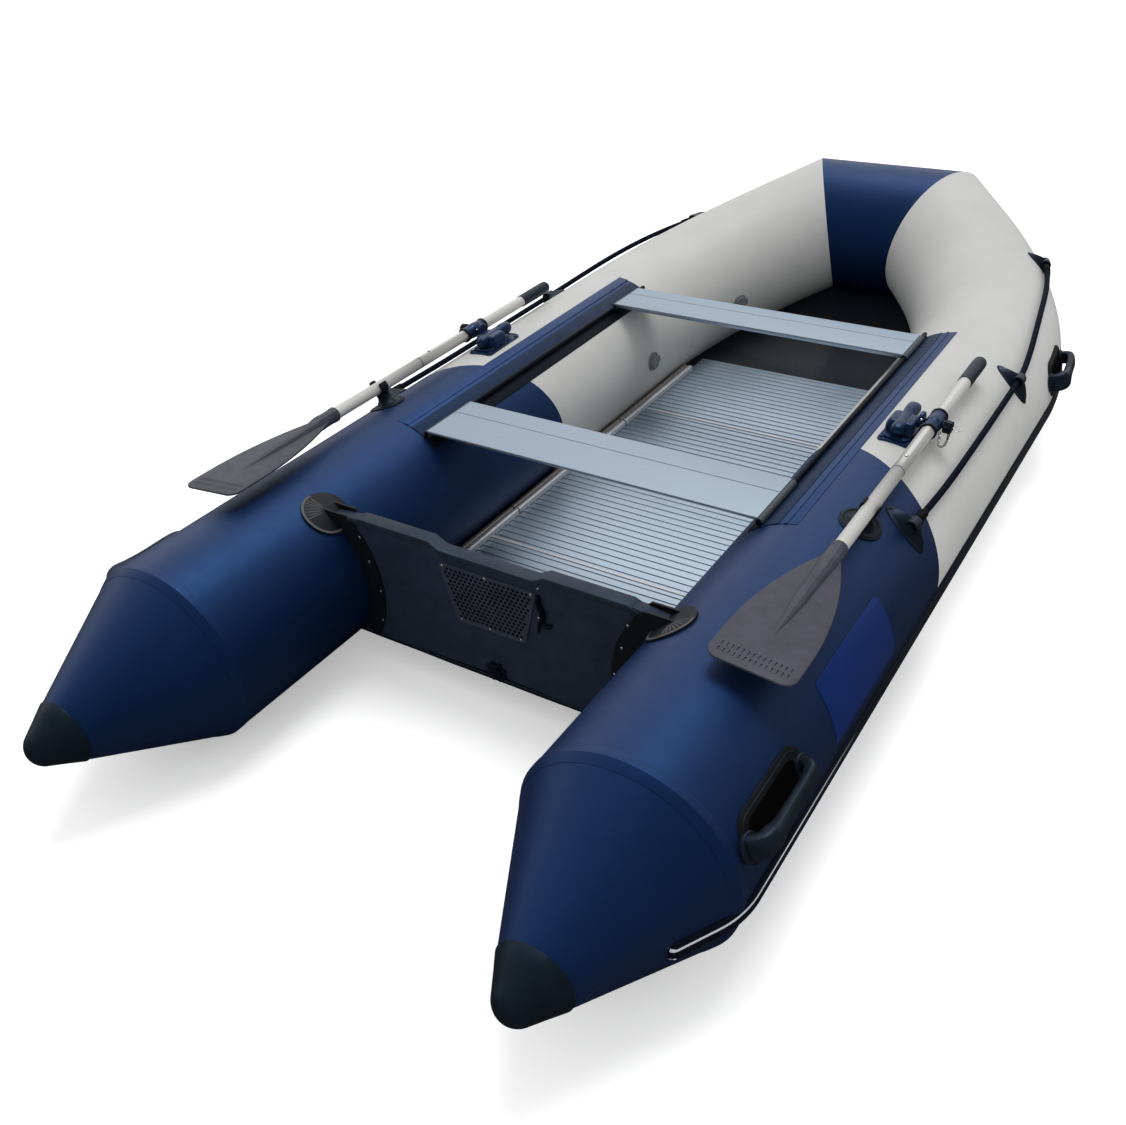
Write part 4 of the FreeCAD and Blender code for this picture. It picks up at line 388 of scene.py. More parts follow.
# colour, roughness and gloss
blackRubber = moulded("blackRubber", (0.0045, 0.005, 0.008), 0.5, 0.18)
capRubber = moulded("capRubber", (0.0045, 0.0085, 0.0150), 0.48, 0.25)
holderRubber = moulded("holderRubber", (0.007, 0.008, 0.012), 0.5, 0.2)
discRubber = moulded("discRubber", (0.095, 0.098, 0.105), 0.55, 0.2)
eyeRubber = moulded("eyeRubber", (0.006, 0.008, 0.014), 0.36, 0.45)
padRubber = moulded("padRubber", (0.008, 0.008, 0.0075), 0.5, 0.22)
# near-black rubber for painted shade under the handle grips
hollowShadeRubber = moulded("hollowShadeRubber", (0.0015, 0.0015, 0.002), 0.8, 0.05)
gripRubber = moulded("gripRubber", (0.007, 0.011, 0.017), 0.42, 0.4)
clipRubber = moulded("clipRubber", (0.004, 0.006, 0.010), 0.45, 0.25)
railRubber = moulded("railRubber", (0.010, 0.022, 0.055), 0.5, 0.2)
blackPlastic = moulded("blackPlastic", (0.004, 0.005, 0.009), 0.38, 0.35)
rowlockPlastic = moulded("rowlockPlastic", (0.006, 0.014, 0.045), 0.32, 0.6)
padPlastic = moulded("padPlastic", (0.031, 0.038, 0.060), 0.42, 0.3)
# black for the pad's holes: painted shade
holeShadeBlack = moulded("holeShadeBlack", (0.001, 0.001, 0.0015), 0.8, 0.03)
trimPlastic = moulded("trimPlastic", (0.018, 0.024, 0.038), 0.46, 0.3)
boardPaint = moulded("boardPaint", (0.019, 0.026, 0.045), 0.46, 0.25, 300.0, 0.0003)
bladePlastic = moulded("bladePlastic", (0.050, 0.052, 0.072), 0.46, 0.25)
valvePlastic = moulded("valvePlastic", (0.20, 0.21, 0.21), 0.42, 0.4)

# distance of the painted highlight lines on the beads from the strake's middle line, and the lengths at which
# they fade
strakeBeadHighlights = {
    "colour": (0.62, 0.64, 0.70),
    "across": 0.0112,
    "halfWide": 0.0024,
    "whole": -1.75,
    "gone": -1.45,
}
strakeRubber = highlightLinedRubber("strakeRubber", (0.0025, 0.005, 0.012), strakeBeadHighlights)
ropeCord = braidedCord("ropeCord", (0.0022, 0.0038, 0.011), 0.7)
spliceTwine = braidedCord("spliceTwine", (0.005, 0.006, 0.010), 0.66)

tinted = {
    coolTint: (
        blackRubber, capRubber, eyeRubber, padRubber, gripRubber, clipRubber,
        blackPlastic, trimPlastic, boardPaint,
    ),
    blueTint: (rowlockPlastic, railRubber, ropeCord),
}
for tint, materials in tinted.items():
    for material in materials:
        material.node_tree.nodes["Principled BSDF"].inputs["Specular Tint"].default_value = (*tint, 1)

# colour, roughness, the way it is drawn, streaks to a metre, shade and metal
oarAluminium = drawnAluminium("oarAluminium", (0.60, 0.595, 0.575), 0.50, "Y", 900.0, 0.05, 0.25)
floorAluminium = drawnAluminium("floorAluminium", (0.44, 0.53, 0.63), 0.36, "X", 700.0, 0.1)
stringerAluminium = drawnAluminium("stringerAluminium", (0.60, 0.62, 0.65), 0.36, "Y", 700.0, 0.1, 0.6)
benchAluminium = drawnAluminium("benchAluminium", (0.315, 0.380, 0.455), 0.52, "X", 700.0, 0.06, 0.6)
claspAluminium = drawnAluminium("claspAluminium", (0.05, 0.06, 0.075), 0.45, "Y", 700.0, 0.1, 0.3)
polishedSteel = drawnAluminium("polishedSteel", (0.70, 0.70, 0.69), 0.2, "Y", 400.0, 0.05)
screwSteel = drawnAluminium("screwSteel", (0.70, 0.70, 0.70), 0.25, "X", 500.0, 0.05)


# Darker, browner colour on the outer ridge of the side stringers
def darkerOuter(material, edge, ridgeTone):
    nodes, links = material.node_tree.nodes, material.node_tree.links
    colour = nodes["Principled BSDF"].inputs["Base Color"]
    before = colour.links[0].from_socket
    away = mathOf(nodes, links, "ABSOLUTE", axisOf(nodes, links, coordsFrom(nodes, links), "X"))
    outer = mathOf(nodes, links, "GREATER_THAN", away, edge)
    links.new(mixOf(nodes, links, outer, before, (*ridgeTone, 1)), colour)


stringerRidge = {"edge": 0.3492, "ridgeTone": (0.27, 0.25, 0.235)}
darkerOuter(stringerAluminium, stringerRidge["edge"], stringerRidge["ridgeTone"])
print("materials ready")


# Stage

stage = {
    "floorSize": 60.0,
    "skyForView": 1.0,
    "glossFrom": (-0.75, 0.66, 0.0),   # where the large soft box hangs, and so the brighter gloss
    "glossFar": (-0.3, 0.12),          # share of that direction, sky strength
    "glossNear": (0.9, 1.15),
    "skyForLight": 0.72,
    "keyPower": 1.25,
    "keySpread": 30.0,       # degrees, a broad soft source
    "keyTurn": (-20.0, -1.0),
    "floorTone": 0.95,
    "floorBounce": 0.75,     # the floor as the object's own surfaces see it
    "floorShine": 0.06,      # the floor as gloss on the object shows it
    "floorGlow": 0.38,       # lifts the floor to white, so only the contact shadow shows
}


def lightSky():
    world = bpy.data.worlds.new("studio")
    bpy.context.scene.world = world
    world.use_nodes = True
    nodes, links = world.node_tree.nodes, world.node_tree.links
    sky = nodes["Background"]
    sky.inputs["Color"].default_value = (1, 1, 1, 1)
    rays = nodes.new("ShaderNodeLightPath")
    seen = mathOf(nodes, links, "MAXIMUM", rays.outputs["Is Camera Ray"], rays.outputs["Is Transmission Ray"])
    direct = spread(nodes, links, seen, 0.0, stage["skyForView"] - stage["skyForLight"])
    where = nodes.new("ShaderNodeTexCoord")
    toward = nodes.new("ShaderNodeVectorMath")
    toward.operation = "DOT_PRODUCT"
    toward.inputs[1].default_value = stage["glossFrom"]
    links.new(where.outputs["Generated"], toward.inputs[0])
    box = nodes.new("ShaderNodeMapRange")
    for end, (share, level) in (("Min", stage["glossFar"]), ("Max", stage["glossNear"])):
        box.inputs["From " + end].default_value = share
        box.inputs["To " + end].default_value = level
    links.new(toward.outputs["Value"], box.inputs["Value"])
    gloss = nodes.new("ShaderNodeMix")
    gloss.inputs[2].default_value = stage["skyForLight"]
    links.new(rays.outputs["Is Glossy Ray"], gloss.inputs[0])
    links.new(box.outputs["Result"], gloss.inputs[3])
    links.new(mathOf(nodes, links, "ADD", direct, gloss.outputs[0]), sky.inputs["Strength"])


def layFloor():
    bm = bmesh.new()
    bmesh.ops.create_grid(bm, x_segments=2, y_segments=2, size=stage["floorSize"] / 2)
    mesh = bpy.data.meshes.new("floor")
    bm.to_mesh(mesh)
    bm.free()
    floor = bpy.data.objects.new("floor", mesh)
    bpy.context.scene.collection.objects.link(floor)
    material, nodes, links, shader = newMaterial("paleFloor")
    shader.inputs["Roughness"].default_value = 0.9
    shader.inputs["Specular IOR Level"].default_value = 0.0
    rays = nodes.new("ShaderNodeLightPath")
    grain = noiseAt(nodes, links, coordsFrom(nodes, links), 3.0, 2.0, 0.5)
    tone = stage["floorTone"]
    low, _, high = tones((tone, tone, tone), 0.02)
    bounce, shine = [(*[stage[key]] * 3, 1) for key in ("floorBounce", "floorShine")]
    met = mixOf(nodes, links, rays.outputs["Is Glossy Ray"], bounce, shine)
    shown = ramp(nodes, links, grain, [(0.0, low), (1.0, high)])
    links.new(mixOf(nodes, links, rays.outputs["Is Camera Ray"], met, shown), shader.inputs["Base Color"])
    shader.inputs["Emission Color"].default_value = (1, 1, 1, 1)
    links.new(
        spread(nodes, links, rays.outputs["Is Camera Ray"], 0.0, stage["floorGlow"]),
        shader.inputs["Emission Strength"],
    )
    mesh.materials.append(material)


def hangKey():
    key = bpy.data.lights.new("key", "SUN")
    key.energy = stage["keyPower"]
    key.angle = rad(stage["keySpread"])
    lamp = bpy.data.objects.new("key", key)
    lamp.rotation_euler = (rad(stage["keyTurn"][0]), rad(stage["keyTurn"][1]), 0)
    lamp.location = (0, 0, 4)
    bpy.context.scene.collection.objects.link(lamp)


lightSky()
layFloor()
hangKey()
bpy.context.scene.view_settings.view_transform = "Standard"
print("stage and light ready")


# Making pieces


tiny = 1e-6             # points closer than this are one


def weld(bm):
    bmesh.ops.remove_doubles(bm, verts=bm.verts, dist=tiny)


# Turn a finished bmesh into a named piece that rides on a body
def piece(name, bm, body, material, replaces=(), sharp=30):
    weld(bm)
    bmesh.ops.recalc_face_normals(bm, faces=bm.faces)
    mesh = bpy.data.meshes.new(name)
    bm.to_mesh(mesh)
    bm.free()
    item = bpy.data.objects.new(name, mesh)
    bpy.context.scene.collection.objects.link(item)
    mesh.polygons.foreach_set("use_smooth", [True] * len(mesh.polygons))
    mesh.set_sharp_from_angle(angle=rad(sharp))
    mesh.materials.append(material)
    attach(item, body)
    if replaces:
        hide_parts(*replaces)
    return item


def place(bm, matrix):
    bmesh.ops.transform(bm, matrix=matrix, verts=bm.verts)
    return bm


def mirrorAcross(bm):
    place(bm, Matrix.Scale(-1, 4, Vector((1, 0, 0))))
    bmesh.ops.reverse_faces(bm, faces=bm.faces)


def everything(bm):
    return bm.verts[:] + bm.edges[:] + bm.faces[:]


# Cut at a plane and drop what lies beyond it
def cutAway(bm, point, normal):
    bmesh.ops.bisect_plane(
        bm, geom=everything(bm), plane_co=point, plane_no=normal, clear_outer=True, dist=tiny,
    )


# Cut at a plane and keep both sides
def scored(bm, point, normal):
    bmesh.ops.bisect_plane(bm, geom=everything(bm), plane_co=point, plane_no=normal, dist=1e-7)


def closeEnds(bm):
    loose = [edge for edge in bm.edges if edge.is_boundary]
    bmesh.ops.holes_fill(bm, edges=loose, sides=0)


# Add a finished part to a piece's bmesh
def pour(bm, part, matrix=None):
    if matrix:
        place(part, matrix)
    mesh = bpy.data.meshes.new("pour")
    part.to_mesh(mesh)
    part.free()
    bm.from_mesh(mesh)
    bpy.data.meshes.remove(mesh)


# Spin a line of (radius, height) points about Z
def turned(line, around=48):
    bm = bmesh.new()
    verts = [bm.verts.new((radius, 0, height)) for radius, height in line]
    edges = [bm.edges.new(pair) for pair in zip(verts, verts[1:])]
    bmesh.ops.spin(
        bm, geom=verts + edges, cent=(0, 0, 0), axis=(0, 0, 1), dvec=(0, 0, 0),
        angle=2 * math.pi, steps=around, use_merge=True, use_duplicate=False,
    )
    weld(bm)
    return bm


# Round bar along Z with softened rims
def bar(radius, length, rim, around=32):
    soft = rim * 0.3
    line = [(0, 0), (radius - rim, 0), (radius - soft, soft), (radius, rim)]
    line += [(radius, length - rim), (radius - soft, length - soft), (radius - rim, length), (0, length)]
    return turned(line, around)


# Closed round section for a ring
def ringLine(bigRadius, wire, height=0.0, steps=12):
    line = []
    for step in range(steps + 1):
        turn = 2 * math.pi * step / steps
        line.append((bigRadius + wire * math.cos(turn), height + wire * math.sin(turn)))
    return line


# Box on Z = 0 with rounded upright corners and a rounded top rim
def block(width, length, height, corner=0.0, rim=0.0, steps=4):
    bm = bmesh.new()
    bmesh.ops.create_cube(bm, size=1.0)
    bmesh.ops.scale(bm, vec=(width, length, height), verts=bm.verts)
    bmesh.ops.translate(bm, vec=(0, 0, height / 2), verts=bm.verts)
    if corner:
        soften(bm, uprights(bm, height), corner, steps)
    if rim:
        top = [edge for edge in bm.edges if min(vert.co.z for vert in edge.verts) > height * 0.999]
        soften(bm, top, rim, max(2, steps // 2))
    return bm


def soften(bm, edges, width, segments):
    bmesh.ops.bevel(
        bm, geom=edges, offset=width, offset_type="OFFSET", segments=segments, profile=0.5,
        affect="EDGES", material=-1, clamp_overlap=True,
    )


# Flat plate from its outline, standing on Z = 0
def slab(corners, thick):
    bm = bmesh.new()
    base = bm.faces.new([bm.verts.new((x, y, 0)) for x, y in corners])
    made = bmesh.ops.extrude_face_region(bm, geom=[base], use_keep_orig=True)
    bmesh.ops.translate(bm, vec=(0, 0, thick), verts=newVerts(made))
    bmesh.ops.recalc_face_normals(bm, faces=bm.faces)
    return bm


def uprights(bm, height):
    return [edge for edge in bm.edges if abs(edge.verts[0].co.z - edge.verts[1].co.z) > height / 2]


# Cut a flat part into strips so that it can bend
def sliced(bm, step, axes=(0, 1)):
    for axis in axes:
        low = min(vert.co[axis] for vert in bm.verts)
        high = max(vert.co[axis] for vert in bm.verts)
        count = int((high - low) / step)
        normal = Vector((axis == 0, axis == 1, axis == 2))
        for cut in range(1, count + 1):
            scored(bm, normal * (low + (high - low) * cut / (count + 1)), normal)
    return bm


# Point on the starboard tube from the length ahead of the bend's start, the angle and the lift
def tubePoint(length, angle, lift):
    reach = tubeRadius + lift
    if length <= 0:
        turn = rad(angle)
        x, z = tubeOffset + reach * math.cos(turn), tubeRadius + reach * math.sin(turn)
        return Vector((x, bendStart + length, z))
    around = rad(angle + bend["tilt"])
    across = bend["radius"] + reach * math.cos(around)
    turn = min(length / bend["radius"], bendTurn)
    beyond = max(0.0, length - bendLong)
    x = across * math.cos(turn) - beyond * math.sin(turn) - bend["radius"]
    y = across * math.sin(turn) + beyond * math.cos(turn)
    return bendFrame @ Vector((x, y, reach * math.sin(around)))


# Bend a flat part on to the starboard tube at (length, angle): X goes round it, Y along it
def wrapped(bm, spot, twist=0.0):
    length, angle = spot
    shrink = 1.0
    if length > 0:
        shrink = bend["radius"] / (bend["radius"] + tubeRadius * math.cos(rad(angle + bend["tilt"])))
    swing = spun(twist, "Z")
    for vert in bm.verts:
        flat = swing @ vert.co
        vert.co = tubePoint(length + flat.y * shrink, angle - math.degrees(flat.x / tubeRadius), flat.z)
    return bm


# Add the port twin of what is already in the bmesh
def bothSides(bm):
    twin = bm.copy()
    mirrorAcross(twin)
    pour(bm, twin)


# One piece a side from each row: title, form, body, material, slot, the node it stands for, sharp angle
def sidePieces(*rows):
    for side, sign in sides.items():
        for title, form, body, material, slot, node, sharp in rows:
            bm = form()
            if sign < 0:
                mirrorAcross(bm)
            rides = body if body == "hull" else body + side
            piece(title + "-" + side, bm, rides, material, [node + side] if node else (), sharp)


# Press flutes into what lies beyond a radius and between two heights
def fluted(bm, beyond, low, high, count, depth, power=1.0):
    for vert in bm.verts:
        reach = math.hypot(vert.co.x, vert.co.y)
        if reach > beyond and low < vert.co.z < high:
            dip = depth * max(0.0, math.cos(count * math.atan2(vert.co.y, vert.co.x))) ** power
            vert.co.x *= (reach - dip) / reach
            vert.co.y *= (reach - dip) / reach
    return bm


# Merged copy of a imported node
def packedCopy(name):
    bm = bmesh.new()
    bm.from_mesh(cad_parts[name].data)
    weld(bm)
    return bm


# Flat cloth's coordinates from each corner's point, in metres
def clothLayer(bm, flatten):
    layer = bm.loops.layers.uv.new("UVMap")
    for face in bm.faces:
        for loop in face.loops:
            loop[layer].uv = flatten(loop.vert.co)
    return bm


def newVerts(made):
    return [item for item in made["geom"] if isinstance(item, bmesh.types.BMVert)]


# Value on the smooth line through evenly spaced control values
def smoothAlong(values, share):
    spot = min(max(share, 0.0), 1.0) * (len(values) - 1)
    index = min(int(spot), len(values) - 2)
    f = spot - index
    a, b = values[max(index - 1, 0)], values[index]
    c, d = values[index + 1], values[min(index + 2, len(values) - 1)]
    return (b * 2 + (c - a) * f + (a * 2 - b * 5 + c * 4 - d) * f ** 2 + (b * 3 - a - c * 3 + d) * f ** 3) * 0.5


# Moulded limb along a smooth line, with its half width and half height at each point
def limb(points, sizes, side, around=24, steps=40, square=2.0):
    line = [Vector(point) for point in points]
    widths = [size[0] for size in sizes]
    heights = [size[1] for size in sizes]
    side = Vector(side)
    bm = bmesh.new()
    bmesh.ops.create_grid(bm, x_segments=around, y_segments=steps, size=0.5)
    power = 2.0 / square
    for vert in bm.verts:
        turn = 2 * math.pi * (vert.co.x + 0.5)
        share = vert.co.y + 0.5
        centre = smoothAlong(line, share)
        ahead = (smoothAlong(line, share + 0.004) - smoothAlong(line, share - 0.004)).normalized()
        across = (side - ahead * side.dot(ahead)).normalized()
        up = ahead.cross(across)
        c, s = math.cos(turn), math.sin(turn)
        wide = math.copysign(abs(c) ** power, c) * smoothAlong(widths, share)
        high = math.copysign(abs(s) ** power, s) * smoothAlong(heights, share)
        vert.co = centre + across * wide + up * high
    weld(bm)
    closeEnds(bm)
    return bm


# Step the widest upper face inwards: (inset, rise) pairs
def rimmed(bm, insets):
    top = max((face for face in bm.faces if face.normal.z > 0.9), key=lambda face: face.calc_area())
    for inset, rise in insets:
        bmesh.ops.inset_region(
            bm, faces=[top], thickness=inset, depth=0, use_even_offset=True, use_boundary=True,
        )
        bmesh.ops.translate(bm, vec=(0, 0, rise), verts=top.verts)
    return bm


# Lifelines and their eyes

eyes = {
    "length": 0.122,     # round the tube
    "width": 0.060,
    "thick": 0.003,
    "tentReach": 0.057,
    "tentWidth": 0.021,
    "tentTop": 0.0275,
    "tunnel": (0.0100, 0.0142),
    "tunnelLength": 0.032,
    "ropeLift": 0.0155,
    # length ahead of the bend's start, angle, twist
    "spots": [(-1.00373, 46.9, -4.4), (-0.2077, 43.3, 0.0), (bend["radius"] * rad(31.0), 36.1, -13.8)],
}


# Leaf of sheet rubber with a tent-shaped ridge and the tunnel for the rope
def eyeLeaf():
    bm = bmesh.new()
    bmesh.ops.create_grid(bm, x_segments=44, y_segments=22, size=0.5)
    halfLong, halfWide = eyes["length"] / 2, eyes["width"] / 2
    for vert in bm.verts:
        x = vert.co.x * eyes["length"]
        share = vert.co.y * 2
        lens = halfWide * (1 - (x / halfLong) ** 2) ** 0.62
        y = share * max(lens, 0.0008)
        tent = max(0.0, 1 - abs(x) / eyes["tentReach"])
        side = eyes["tentWidth"] * math.sqrt(max(0.0, tent * (2 - tent))) + 0.001
        slope = max(0.0, 1 - abs(y) / side) ** 0.82
        rim = min(1.0, (1 - abs(share)) * 9)
        vert.co = (x, y, eyes["thick"] * (0.35 + 0.65 * rim) + eyes["tentTop"] * tent ** 0.8 * slope * 0.92)
    rims = [edge for edge in bm.edges if edge.is_boundary]
    for vert in newVerts(bmesh.ops.extrude_edge_only(bm, edges=rims)):
        vert.co.z = -0.0006
    closeEnds(bm)
    inner, outer = eyes["tunnel"]
    half = eyes["tunnelLength"] / 2
    lip = 0.0016
    line = [(inner, -half + lip), (inner + lip, -half), (outer - lip, -half), (outer, -half + lip)]
    line += [(outer * 1.02, 0), (outer, half - lip), (outer - lip, half), (inner + lip, half)]
    line += [(inner, half - lip), line[0]]
    pour(bm, turned(line, 36), moved(0, 0, eyes["ropeLift"]) @ spun(90, "X"))
    return bm


def buildEyes():
    whole = bmesh.new()
    for length, angle, twist in eyes["spots"]:
        pour(whole, wrapped(eyeLeaf(), (length, angle), twist))
    bothSides(whole)
    piece("ropeEyes", whole, "hull", eyeRubber, ["lifeline_eyes"], 34)


# Evenly spaced frames that follow a line of points without twisting
def framesAlong(path, count):
    lengths = [0.0]
    for first, last in zip(path, path[1:]):
        lengths.append(lengths[-1] + (last - first).length)
    frames = []
    index = 0
    side = None
    for step in range(count + 1):
        reach = lengths[-1] * step / count
        while index < len(path) - 2 and lengths[index + 1] < reach:
            index += 1
        share = (reach - lengths[index]) / (lengths[index + 1] - lengths[index])
        ahead = (path[min(index + 2, len(path) - 1)] - path[max(index - 1, 0)]).normalized()
        across = side or Vector((0, 0, 1)).cross(ahead)
        side = (across - ahead * across.dot(ahead)).normalized()
        frames.append((path[index].lerp(path[index + 1], share), side, ahead.cross(side), reach))
    return frames


# Tube of crossing strands that follows a line of points
def braided(path, look):
    total = sum((last - first).length for first, last in zip(path, path[1:]))
    count = round(total / look["stride"])
    frames = framesAlong(path, count)
    bm = bmesh.new()
    bmesh.ops.create_grid(bm, x_segments=look["around"], y_segments=count, size=0.5)
    around = 2 * math.pi * look["radius"]
    clothLayer(bm, lambda point: ((point.x + 0.5) * around, (point.y + 0.5) * total))
    half = look["strands"] / 2
    for vert in bm.verts:
        turn = 2 * math.pi * (vert.co.x + 0.5)
        centre, side, up, reach = frames[round((vert.co.y + 0.5) * count)]
        wind = 2 * math.pi * reach / look["pitch"]
        one, two = math.cos(half * (turn + wind)), math.cos(half * (turn - wind))
        swell = look["radius"] - look["relief"] * (1 - max(abs(one), abs(two)) ** 0.7)
        vert.co = centre + side * (swell * math.cos(turn)) + up * (swell * math.sin(turn))
    weld(bm)
    closeEnds(bm)
    return bm


splices = {"radius": 0.0103, "start": 0.032, "length": 0.040, "bands": 9}


# Whipping where the rope's tail is worked back into it
def spliceSleeve(path):
    frames = framesAlong(path, 400)
    near = [item for item in frames if splices["start"] <= item[3] <= splices["start"] + splices["length"]]
    start, end = near[0][0], near[-1][0]
    length = (end - start).length
    line = [(0, 0)]
    rings = splices["bands"]
    radius = splices["radius"]
    line += [(rope["radius"] * 0.98, 0), (radius * 0.93, length * 0.03)]
    for ring in range(rings):
        low = length * (0.04 + 0.92 * ring / rings)
        high = length * (0.04 + 0.92 * (ring + 1) / rings)
        line += [(radius * 0.95, low), (radius, low * 0.7 + high * 0.3), (radius, low * 0.3 + high * 0.7)]
    line += [(radius * 0.93, length * 0.97), (rope["radius"] * 0.98, length), (0, length)]
    bm = turned(line, 28)
    turn = Vector((0, 0, 1)).rotation_difference((end - start).normalized()).to_matrix().to_4x4()
    place(bm, Matrix.Translation(start) @ turn)
    return bm


def buildRopes():
    for side, sign in sides.items():
        path = ropePath(sign)
        node = "lifeline_" + side
        line = piece("lifeline-" + side, braided(path, rope), "hull", ropeCord, [node], 60)
        sleeves = spliceSleeve(path)
        pour(sleeves, spliceSleeve(path[::-1]))
        sleeve = piece("ropeSplices-" + side, sleeves, "hull", spliceTwine, (), 35)
    print("lifelines ready")


buildEyes()
buildRopes()


# Hull tubes

tubes = {"around": 144, "step": 0.022, "pucker": 0.0011, "puckerReach": 0.045, "crease": 0.0007}


# Circle of edges across a tube
def ringAt(bm, matrix):
    made = bmesh.ops.create_circle(
        bm, cap_ends=False, radius=tubeRadius, segments=tubes["around"], matrix=matrix,
    )
    return list({edge for vert in made["verts"] for edge in vert.link_edges})


# Extrude a loop of edges by equal steps
def extend(bm, edges, move, steps):
    for _ in range(steps):
        made = bmesh.ops.extrude_edge_only(bm, edges=edges)
        edges = [item for item in made["geom"] if isinstance(item, bmesh.types.BMEdge)]
        bmesh.ops.translate(bm, verts=newVerts(made), vec=move / steps)
    return edges


# Carry a loop of edges round the bow bend and on along its straight end
def turnBow(bm, edges, step):
    centre = bendFrame @ Vector((-bend["radius"], 0, 0))
    axis = bendFrame.to_3x3() @ Vector((0, 0, 1))
    steps = round(bendLong / step)
    made = bmesh.ops.spin(
        bm, geom=edges, cent=centre, axis=axis, dvec=(0, 0, 0),
        angle=bendTurn, steps=steps, use_merge=False, use_duplicate=False,
    )["geom_last"]
    return [item for item in made if isinstance(item, bmesh.types.BMEdge)]


# Length along the starboard tube, angle round it and distance from its axis
def tubePlace(point):
    local = bendFrame.inverted() @ point
    if local.y <= 0:
        flat = Vector((point.x - tubeOffset, 0, point.z - tubeRadius))
        return point.y - bendStart, math.atan2(flat.z, flat.x), flat.length
    turn = math.atan2(local.y, local.x + bend["radius"])
    reach = math.hypot(local.y, local.x + bend["radius"]) - bend["radius"]
    if turn > bendTurn:
        turned = Matrix.Rotation(-bendTurn, 4, "Z") @ (local + Vector((bend["radius"], 0, 0)))
        reach = turned.x - bend["radius"]
        return bendLong + turned.y, math.atan2(local.z, reach), math.hypot(local.z, reach)
    return bend["radius"] * turn, math.atan2(local.z, reach), math.hypot(local.z, reach)


# Give a hull piece a flat cloth's coordinates, in metres
def unwrapTube(bm):
    layer = bm.loops.layers.uv.new("UVMap")
    for face in bm.faces:
        middle = tubePlace(starboard(face.calc_center_median()))[1]
        for loop in face.loops:
            length, angle, _ = tubePlace(starboard(loop.vert.co))
            if angle - middle > math.pi:
                angle -= 2 * math.pi
            if angle - middle < -math.pi:
                angle += 2 * math.pi
            loop[layer].uv = (length, angle * tubeRadius)
    return bm


# Small puckers beside glued seams and soft creases on the inside of the bend
def sculptTube(bm, seams):
    bm.normal_update()
    for vert in bm.verts:
        if vert.is_boundary:
            continue
        length, angle, _ = tubePlace(vert.co)
        push = 0.0
        for point, normal in seams:
            gap = abs((vert.co - point).dot(normal))
            if gap < tubes["puckerReach"]:
                fade = math.sin(math.pi * gap / tubes["puckerReach"])
                push += tubes["pucker"] * fade * noise.noise(Vector((angle * 9, point.y * 7, 0.3)))
        if 0 < length < bendLong + 0.1:
            inner = max(0.0, -math.cos(angle)) ** 2
            push += tubes["crease"] * inner * noise.noise(Vector((length * 30, angle * 1.5, 1.7)))
        vert.co += vert.normal * push


mitreSeam = (corner, mitreNormal)
splitPoint = Vector((tubeOffset, split["y"], tubeRadius))
splitNormal = Vector((math.sin(rad(split["slant"])), math.cos(rad(split["slant"])), 0))
splitSeam = (splitPoint, splitNormal)


# Cut a straight piece of the bow to its two mitres
def cutAtMitres(bm):
    for sign in sides.values():
        point = Vector((sign * corner.x, corner.y, corner.z))
        cutAway(bm, point, -Vector((sign * mitreNormal.x, mitreNormal.y, mitreNormal.z)))
    closeEnds(bm)
    return bm


# The starboard tube's wall from a given Y, round the bend if it has a front run
def tubeWall(aftY, frontRun):
    bm = bmesh.new()
    loop = ringAt(bm, moved(tubeOffset, aftY, tubeRadius) @ spun(90, "X"))
    reach = Vector((0, bendStart - aftY, 0))
    loop = extend(bm, loop, reach, round(reach.length / tubes["step"]))
    if frontRun:
        loop = turnBow(bm, loop, tubes["step"])
        extend(bm, loop, bendEnd * frontRun, round(frontRun / tubes["step"]))
    return bm


def aftTube():
    bm = tubeWall(coneHigh.y, 0)
    cutAway(bm, splitPoint, splitNormal)
    sculptTube(bm, [splitSeam])
    closeEnds(bm)
    return unwrapTube(bm)


def bowTube():
    bm = tubeWall(split["y"] - tubeRadius, bend["straight"] + tubeRadius)
    cutAway(bm, splitPoint, -splitNormal)
    cutAway(bm, corner, mitreNormal)
    sculptTube(bm, [splitSeam, mitreSeam])
    closeEnds(bm)
    return unwrapTube(bm)


def bowCentre():
    bm = bmesh.new()
    reach = corner.x + tubeRadius
    loop = ringAt(bm, moved(-reach, corner.y, corner.z) @ spun(90, "Y"))
    extend(bm, loop, Vector((2 * reach, 0, 0)), round(2 * reach / tubes["step"]))
    cutAtMitres(bm)
    return clothLayer(bm, lambda point: (
        point.x, math.atan2(point.z - corner.z, point.y - corner.y) * tubeRadius))


sidePieces(
    ("aftTube", aftTube, "hull", navyFabric, "navy_fabric", "tube_aft_", 40),
    ("bowTube", bowTube, "hull", greyFabric, "grey_fabric", "tube_bow_", 40),
)
piece("bowTube-centre", bowCentre(), "hull", navyFabric, ["tube_bow_centre"], 40)
print("hull tubes ready")


# Stern cones

cones = {
    "bandWidth": 0.035,
    "bandLift": 0.0011,
    "bandRim": 0.002,
    "capLift": 0.0016,
    "capStep": 0.026,
    "capRim": 0.001,
    "tip": 0.041,           # radius of the cap's round end
    "steps": 12,
}
capNeck = (capHigh.x - capLow.x) / 2
coneSlope = (tubeRadius - capNeck) / (coneHigh.y - coneLow.y)


# Spin a line of (distance ahead, radius) points about the starboard tube's axis
def coneTurned(points, around=tubes["around"]):
    bm = bmesh.new()
    verts = [bm.verts.new((tubeOffset, y, tubeRadius + radius)) for y, radius in points]
    edges = [bm.edges.new(pair) for pair in zip(verts, verts[1:])]
    bmesh.ops.spin(
        bm, geom=verts + edges, cent=(tubeOffset, 0, tubeRadius), axis=(0, 1, 0), dvec=(0, 0, 0),
        angle=2 * math.pi, steps=around, use_merge=True, use_duplicate=False,
    )
    return bm


